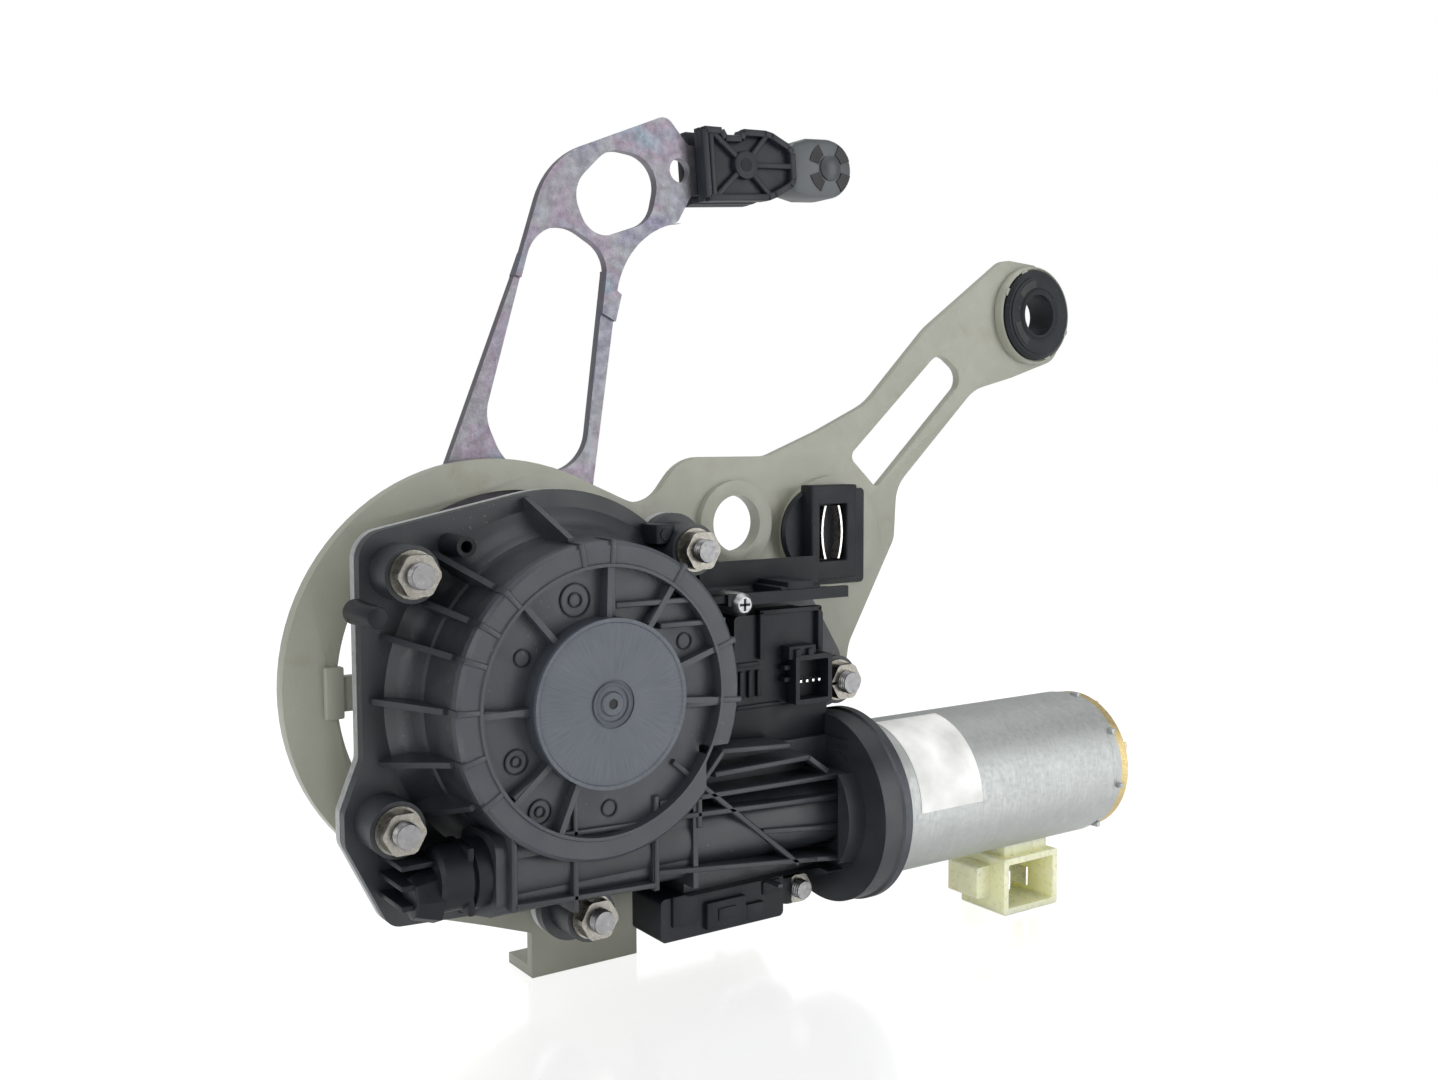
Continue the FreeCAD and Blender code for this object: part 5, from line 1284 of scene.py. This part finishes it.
@dataclass
class Threads:
    """Thread ridges on the studs' free ends and a washer face under each nut."""
    studs: tuple[Stud, ...] = DRUM_STUDS + (Stud(87.0, -5.2), Stud(4.0, -60.0),
                                            Stud(69.5, -63.5, 2.5, 8.0))
    first: float = 12.7
    nut_front: float = 15.0
    pitch: float = 0.9
    ridge: float = 0.8
    root: float = 0.1
    crest: float = 0.22
    washer_front: float = 19.0
    washer_gap: float = 0.3
    washer_share: float = 0.6
    washer_height: float = 0.6

    def build(self) -> None:
        """Turns the ridges and the washers."""
        ridges = Piece("stud_threads", Body.HOUSING, STUD_ZINC)
        washers = Piece("nut_washers", Body.HOUSING, NUT_NICKEL)
        for stud in self.studs:
            root, crest = stud.radius - self.root, stud.radius + self.crest
            place = self.first
            while place < self.nut_front - self.pitch / 2:
                ridges.turned([(root, 0), (crest, self.ridge / 2), (root, self.ridge)],
                              (stud.x, place, stud.z))
                place += self.pitch
            washers.ring(stud.radius + self.washer_gap, stud.flats * self.washer_share,
                         self.washer_height, (stud.x, self.washer_front, stud.z), sides=40)
        ridges.done("stud_steel")
        washers.done("nut_steel")


@dataclass
class LinkLook:
    """The link as moulded: a tilted ribbed block and a round ball cup at its end.

    Its plan is given along and across the link, from its pin.
    """
    tilt: float = math.radians(4.5)
    pin: Point = (75.5, 147.6)
    front: float = 49.0
    back: float = 64.0
    cheek_inset: float = 2.0
    cheek: float = 3.6
    plan: tuple[Point, ...] = (
        (-14.6, -10.6), (8.4, -10.2), (11.0, -9.3), (17.5, -6.2), (18.9, -4.4), (18.9, 4.4),
        (17.5, 6.2), (11.0, 9.6), (8.4, 10.2), (0.2, 10.4), (-0.9, 8.3), (-7.0, 8.3),
        (-8.4, 10.6), (-14.6, 10.8))
    bridge: tuple[Point, ...] = ((9.0, -9.6), (18.7, -5), (18.7, 5), (9.0, 9.8))
    bridge_inset: float = 5.0
    edge_shares: Point = (0.95, 0.92)
    edge_rib: float = 2.0
    rib: float = 1.7
    rib_depth: float = 3.0
    rib_inset: float = 0.2
    rib_edge: float = 0.3
    ribs: tuple[Line, ...] = ((0, 0, -11.5, -9.6), (0, 0, -11.5, 9.6), (0, 0, 8.5, -8.6),
                              (0, 0, 8.5, 8.8), (0, 0, 17.6, 0), (-11.8, -9.6, -11.8, 9.6))
    hub_radius: float = 4.2
    hub_proud: float = 0.1
    cap_radius: float = 2.0
    cap_length: float = 1.2
    cap_proud: float = 0.25
    cup: Point = (33.2, 0.0)
    cup_radius: float = 9.1
    cup_step: int = 10
    cup_neck: tuple[Point, ...] = ((-8, 9.1), (-13.5, 7.7), (-15.5, 5.5))
    cup_inset: float = 1.5
    ball: tuple[Point, ...] = ((0, 0), (2.6, 0.1), (3.9, 1), (3.9, 3), (0, 3))
    ball_proud: float = 0.2
    slot_insets: Point = (1.2, 2.2)
    slot_middles: tuple[int, ...] = (38, 142, 218, 322)
    slot_half: int = 22
    slot_step: int = 11
    slot_radii: Point = (4.6, 8.2)

    def turned_to(self, points: Sequence[Point]) -> list[Point]:
        """Takes points of the link's own plan to the part's plan.

        Args:
            points: Points along and across the link, from its pin.

        Returns:
            The same points as seen from the front.
        """
        sine, cosine = math.sin(self.tilt), math.cos(self.tilt)
        return [(self.pin[0] + x * cosine - z * sine, self.pin[1] + x * sine + z * cosine)
                for x, z in points]

    def face_ribs(self, link: Piece, front: float, back: float) -> None:
        """One side's frame, ribs and hub.

        Args:
            link: Piece that takes them.
            front: Depth of their front.
            back: Depth of their back.
        """
        wide, tall = self.edge_shares
        for (x0, z0), (x1, z1) in zip(self.plan, self.plan[1:] + self.plan[:1]):
            edge = (x0 * wide, z0 * tall, x1 * wide, z1 * tall)
            link.slab(self.turned_to(strip(edge, self.edge_rib)), front, back, self.rib_edge)
        for line in self.ribs:
            link.slab(self.turned_to(strip(line, self.rib)), front + self.rib_inset, back,
                      self.rib_edge)
        x, z = self.pin
        link.rod((x, front - self.hub_proud, z), back - front, self.hub_radius, Axis.Y,
                 sides=40, bevel=self.rib_edge)

    def block(self) -> None:
        """The fork: two cheeks joined at the right, each with a framed and ribbed face."""
        link = Piece("link_block", Body.LINK, LINK_BLACK)
        outline = self.turned_to(self.plan)
        front, back = self.front + self.cheek_inset, self.back - self.cheek_inset
        link.slab(outline, front, front + self.cheek, bevel=0.4)
        link.slab(outline, back - self.cheek, back, bevel=0.4)
        link.slab(self.turned_to(self.bridge), self.front + self.bridge_inset,
                  self.back - self.bridge_inset)
        self.face_ribs(link, self.front, self.front + self.rib_depth)
        self.face_ribs(link, self.back - self.rib_depth, self.back)
        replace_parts(link.done("link_plastic"), "link")
        cap = Piece("link_pin_cap", Body.LINK, RUBBER)
        x, z = self.pin
        cap.rod((x, self.front - self.cap_proud, z), self.cap_length, self.cap_radius, Axis.Y)
        cap.done("link_plastic")

    def cup_plan(self) -> list[Point]:
        """Plan of the ball cup: a half circle, then its neck on both sides.

        Returns:
            The points of the plan.
        """
        along, across = self.cup
        plan = [on_circle(self.cup, self.cup_radius, angle)
                for angle in range(-90, 91, self.cup_step)]
        plan += [(along + x, across + half) for x, half in self.cup_neck]
        plan += [(along + x, across - half) for x, half in reversed(self.cup_neck)]
        return plan

    def head(self) -> None:
        """The paler end: the ball cup, the ball in its middle and four dark slots."""
        head = Piece("link_cup", Body.LINK, HEAD_GREY)
        head.slab(self.turned_to(self.cup_plan()), self.front + self.cup_inset,
                  self.back - self.cup_inset, bevel=1.6)
        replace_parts(head.done("head_plastic"), "link_head")
        x, z = self.turned_to([self.cup])[0]
        ball = Piece("link_ball", Body.LINK, BALL_GREY)
        ball.turned(self.ball, (x, self.front - self.ball_proud, z), sides=40)
        ball.done("head_plastic")
        slots = Piece("cup_slots", Body.LINK, CLAW_BLACK)
        near, far = self.slot_insets
        for middle in self.slot_middles:
            span = range(middle - self.slot_half, middle + self.slot_half + 1, self.slot_step)
            slots.slab(self.turned_to(band(self.cup, *self.slot_radii, span)),
                       self.front + near, self.front + far)
        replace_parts(slots.done("claw_plastic"), "head_claws")

    def build(self) -> None:
        """Builds the block and the head."""
        self.block()
        self.head()


@dataclass
class MotorTrim:
    """Rear end of the motor: bent tabs on its plate and crimps round the can."""
    end: float = 188.0
    tab_angles: tuple[int, ...] = (20, 110, 160, 250, 290, 340)
    tab_circle: float = 19.6
    tab_half: float = 2.0
    tab_reach: Point = (0.3, 0.9)
    crimp_angles: tuple[int, ...] = tuple(range(10, 370, 45))
    crimp_circle: float = 22.8
    crimp_half: Point = (1.6, 0.8)
    crimp_reach: Point = (6.2, 4.6)

    def build(self) -> None:
        """Builds the tabs and the crimps."""
        axis = (MOTOR_Y, MOTOR_Z)
        tabs = Piece("end_tabs", Body.HOUSING, OCHRE)
        for angle in self.tab_angles:
            y, z = on_circle(axis, self.tab_circle, angle)
            tabs.block((self.end - self.tab_reach[0], y - self.tab_half, z - self.tab_half),
                       (self.end + self.tab_reach[1], y + self.tab_half, z + self.tab_half), 0.4)
        tabs.done("end_plate_steel")
        crimps = Piece("can_crimps", Body.HOUSING, CAN)
        deep, tall = self.crimp_half
        for angle in self.crimp_angles:
            y, z = on_circle(axis, self.crimp_circle, angle)
            crimps.block((self.end - self.crimp_reach[0], y - deep, z - tall),
                         (self.end - self.crimp_reach[1], y + deep, z + tall), 0.3)
        crimps.done("can_steel")


@dataclass
class ArmTrim:
    """The arm's end: a pale flange lip with pointed tabs, and a black seat with notches."""
    centre: Point = (194.5, 108.0)
    lip: tuple[Point, ...] = ((15.4, 0.6), (16.0, 0), (16.6, 0.8), (16.8, 3.2), (15.4, 3.2))
    lip_front: float = 43.5
    tab_angles: tuple[int, ...] = (112, 152, 292, 340)
    tab_circle: float = 15.0
    tab_front: float = 43.4
    tab_length: float = 3.0
    tab_radii: Point = (1.5, 0.9)
    seat: tuple[Point, ...] = ((10.5, 0), (14.2, 0), (15.3, 1), (15.3, 2.6), (10.5, 2.6))
    seat_front: float = 42.3
    seat_lip: tuple[Point, ...] = ((7.3, 0), (8.6, -0.5), (9.4, 0), (9.4, 1), (7.3, 1))
    seat_lip_front: float = 42.1
    notch_starts: tuple[int, ...] = (100, 195)
    notch_span: int = 45
    notch_step: int = 9
    notch_radii: Point = (9.4, 12.0)
    notch_front: float = 41.9
    notch_back: float = 42.4

    def build(self) -> None:
        """Builds the lip with its tabs, the seat and the notches."""
        x, z = self.centre
        lip = Piece("arm_lip", Body.HOUSING, BRACKET_PAINT)
        lip.turned(self.lip, (x, self.lip_front, z), sides=64)
        for angle in self.tab_angles:
            tab_x, tab_z = on_circle(self.centre, self.tab_circle, angle)
            lip.rod((tab_x, self.tab_front, tab_z), self.tab_length, self.tab_radii[0], Axis.Y,
                    self.tab_radii[1], 12)
        lip.done("bracket_paint")
        seat = Piece("arm_seat", Body.HOUSING, RUBBER)
        seat.turned(self.seat, (x, self.seat_front, z), sides=64)
        seat.turned(self.seat_lip, (x, self.seat_lip_front, z), sides=64)
        seat.done("socket_rubber")
        notches = Piece("arm_notches", Body.HOUSING, CLAW_BLACK)
        for start in self.notch_starts:
            span = range(start, start + self.notch_span + 1, self.notch_step)
            notches.slab(band(self.centre, *self.notch_radii, span), self.notch_front,
                         self.notch_back)
        notches.done("socket_rubber")


@dataclass
class ClipLook:
    """The clip as moulded: a round dark seat, a slotted block on it and two bowed leaf springs."""
    block: Line = (92.0, 22.2, 109.8, 51.4)
    slot: Line = (95.2, 28.0, 105.8, 45.5)
    slot_floor: float = 0.8
    front: float = 38.0
    plate_face: float = 43.9
    edge: float = 0.5
    spare: Line = (70.0, 5.0, 140.0, 70.0)
    spare_front: float = 33.0
    seat: Point = (98.4, 36.8)
    seat_radius: float = 14.0
    seat_face: float = 42.4
    seat_edge: float = 0.8
    spring_front: float = 0.8
    spring_back: float = 1.2
    spring_reach: float = 8.2
    spring_bow: float = 1.3
    spring_gap: float = 2.2
    spring_thickness: float = 0.7
    spring_steps: int = 6

    def body(self) -> None:
        """The block on its seat, with the node's own tail through the bracket's window."""
        body = Piece("clip_body", Body.HOUSING, BLACK_PLAIN)
        body.take_node("clip_block")
        spare = Shape()
        spare.plate(self.spare, self.spare_front, self.plate_face)
        body.carve(spare)
        block, slot = Shape(), Shape()
        block.plate(self.block, self.front, self.plate_face)
        slot.plate(self.slot, self.front - 2, self.plate_face - self.slot_floor)
        block.carve(slot)
        block.soften(self.edge)
        body.take(block)
        radius, edge, thick = self.seat_radius, self.seat_edge, self.plate_face - self.seat_face
        body.turned([(0, 0), (radius - edge, 0), (radius, edge), (radius, thick), (0, thick)],
                    (self.seat[0], self.seat_face, self.seat[1]), sides=64)
        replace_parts(body.done("cover_plastic"), "clip_block")

    def springs(self) -> None:
        """Two thin leaves that bow away from each other."""
        leaves = Piece("clip_springs", Body.HOUSING, SPRING)
        left, low, right, high = self.slot
        x, z = (left + right) / 2, (low + high) / 2
        steps = [step / self.spring_steps
                 for step in range(-self.spring_steps, self.spring_steps + 1)]
        for side in (-1, 1):
            inner = [(x + side * (self.spring_gap + self.spring_bow * (1 - step * step)),
                      z + step * self.spring_reach) for step in steps]
            outer = [(px + side * self.spring_thickness, pz) for px, pz in reversed(inner)]
            leaves.slab(inner + outer, self.front + self.spring_front,
                        self.plate_face - self.spring_back)
        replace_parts(leaves.done("spring_steel"), "clip_leaves")

    def build(self) -> None:
        """Builds the block, its seat and the springs."""
        self.body()
        self.springs()


@dataclass(frozen=True)
class Lamp:
    """A soft square lamp. Its offset and size are in metres and its power in watts."""
    name: str
    offset: tuple[float, float, float]
    size: float
    power: float

    def build(self, aim: Vector) -> None:
        """Hangs the lamp.

        Args:
            aim: Point that it looks at.
        """
        light = bpy.data.lights.new(self.name, "AREA")
        light.size = self.size
        light.energy = self.power
        lamp = bpy.data.objects.new(self.name, light)
        lamp.location = aim + Vector(self.offset)
        lamp.rotation_euler = (aim - lamp.location).to_track_quat("-Z", "Y").to_euler()
        bpy.context.scene.collection.objects.link(lamp)


@dataclass
class Studio:
    """Pale floor, soft light and a white surround. The floor's size is in metres."""
    floor_size: float = 6.0
    floor_white: float = 0.93
    floor_glow: float = 1.2
    floor_glow_share: float = 0.8
    floor_gloss: float = 0.2
    mirror_tone: float = 2.6
    mirror_roughness: float = 0.16
    light_level: float = 0.42
    seen_level: float = 1.0
    aim: Place = (60.0, 20.0, 20.0)
    lamps: tuple[Lamp, ...] = (Lamp("lamp_top", (0.1, 0.1, 1.1), 1.2, 7),
                               Lamp("lamp_left", (-1.0, -0.4, 0.4), 0.7, 4.5),
                               Lamp("lamp_front", (0.75, -1.05, 0.3), 0.9, 6))

    def floor(self) -> None:
        """A white glossy table that keeps the object's shadow and a faint mirror image."""
        mesh = bmesh.new()
        bmesh.ops.create_grid(mesh, x_segments=1, y_segments=1, size=self.floor_size / 2)
        bmesh.ops.translate(mesh, vec=(0, 0, cad_box[0][2]), verts=mesh.verts)
        data = bpy.data.meshes.new("floor")
        mesh.to_mesh(data)
        mesh.free()
        data.materials.append(self.floor_material())
        floor = bpy.data.objects.new("floor", data)
        bpy.context.scene.collection.objects.link(floor)

    def floor_material(self) -> bpy.types.Material:
        """White, seen a little brighter than lit, with a weak mirror over it.

        Returns:
            The material.
        """
        material = bpy.data.materials.new("floor_white")
        material.use_nodes = True
        tree = material.node_tree
        tree.nodes.clear()
        output = tree.nodes.new("ShaderNodeOutputMaterial")
        plain = tree.nodes.new("ShaderNodeBsdfDiffuse")
        plain.inputs["Color"].default_value = (*(self.floor_white,) * 3, 1)
        glow = tree.nodes.new("ShaderNodeEmission")
        glow.inputs["Color"].default_value = (1, 1, 1, 1)
        glow.inputs["Strength"].default_value = self.floor_glow
        mirror = tree.nodes.new("ShaderNodeBsdfGlossy")
        mirror.inputs["Roughness"].default_value = self.mirror_roughness
        mirror.inputs["Color"].default_value = (*(self.mirror_tone,) * 3, 1)
        path = tree.nodes.new("ShaderNodeLightPath")
        seen = tree.nodes.new("ShaderNodeMath")
        seen.operation = "MULTIPLY"
        seen.inputs[1].default_value = self.floor_glow_share
        lit = tree.nodes.new("ShaderNodeMixShader")
        whole = tree.nodes.new("ShaderNodeMixShader")
        whole.inputs["Fac"].default_value = self.floor_gloss
        tree.links.new(path.outputs["Is Camera Ray"], seen.inputs[0])
        tree.links.new(seen.outputs["Value"], lit.inputs["Fac"])
        tree.links.new(plain.outputs["BSDF"], lit.inputs[1])
        tree.links.new(glow.outputs["Emission"], lit.inputs[2])
        tree.links.new(lit.outputs["Shader"], whole.inputs[1])
        tree.links.new(mirror.outputs["BSDF"], whole.inputs[2])
        tree.links.new(whole.outputs["Shader"], output.inputs["Surface"])
        return material

    def world(self) -> None:
        """A surround that is white to the camera and dimmer as plain light."""
        world = bpy.data.worlds.new("surround")
        world.use_nodes = True
        tree = world.node_tree
        tree.nodes.clear()
        output = tree.nodes.new("ShaderNodeOutputWorld")
        background = tree.nodes.new("ShaderNodeBackground")
        background.inputs["Color"].default_value = (1, 1, 1, 1)
        path = tree.nodes.new("ShaderNodeLightPath")
        level = tree.nodes.new("ShaderNodeMapRange")
        level.inputs["To Min"].default_value = self.light_level
        level.inputs["To Max"].default_value = self.seen_level
        tree.links.new(path.outputs["Is Camera Ray"], level.inputs["Value"])
        tree.links.new(level.outputs["Result"], background.inputs["Strength"])
        tree.links.new(background.outputs["Background"], output.inputs["Surface"])
        bpy.context.scene.world = world

    def build(self) -> None:
        """Makes the floor, the surround and the lamps."""
        self.floor()
        self.world()
        for lamp in self.lamps:
            lamp.build(at(*self.aim))


@dataclass
class PhotoCamera:
    """The camera as fitted to the photograph."""
    place: Place = (-171.7, -298.9, 65.5)
    yaw: float = math.radians(34.24)
    pitch: float = math.radians(-4.11)
    roll: float = math.radians(-0.19)
    lens: float = 35.05
    sensor: float = 36.0
    near: float = 0.01

    def build(self) -> None:
        """Creates the camera and makes it the scene's."""
        forward = Vector((math.sin(self.yaw) * math.cos(self.pitch),
                          math.cos(self.yaw) * math.cos(self.pitch), math.sin(self.pitch)))
        right = Vector((math.cos(self.yaw), -math.sin(self.yaw), 0))
        up = right.cross(forward)
        side = right * math.cos(self.roll) + up * math.sin(self.roll)
        top = up * math.cos(self.roll) - right * math.sin(self.roll)
        camera = bpy.data.objects.new("camera", bpy.data.cameras.new("camera"))
        camera.data.lens = self.lens
        camera.data.sensor_width = self.sensor
        camera.data.clip_start = self.near
        turn = Matrix((side, top, -forward)).transposed().to_4x4()
        camera.matrix_world = Matrix.Translation(at(*self.place)) @ turn
        bpy.context.scene.collection.objects.link(camera)
        bpy.context.scene.camera = camera


def main() -> None:
    """Builds the looks in order."""
    logging.basicConfig(level=logging.INFO, format="%(message)s")
    bpy.context.scene.view_settings.view_transform = "Standard"
    PhotoCamera().build()
    Studio().build()
    dress_nodes()
    for look in (BracketLook(), CoverLook(), HubTrim(), FlangeTrim(), MarkTrim(), BoxTrim(),
                 CapTrim(), RibTrim(), BlankPatch(), Threads(), LinkLook(), MotorTrim(),
                 ArmTrim(), ClipLook()):
        look.build()


if __name__ == "__main__":
    main()
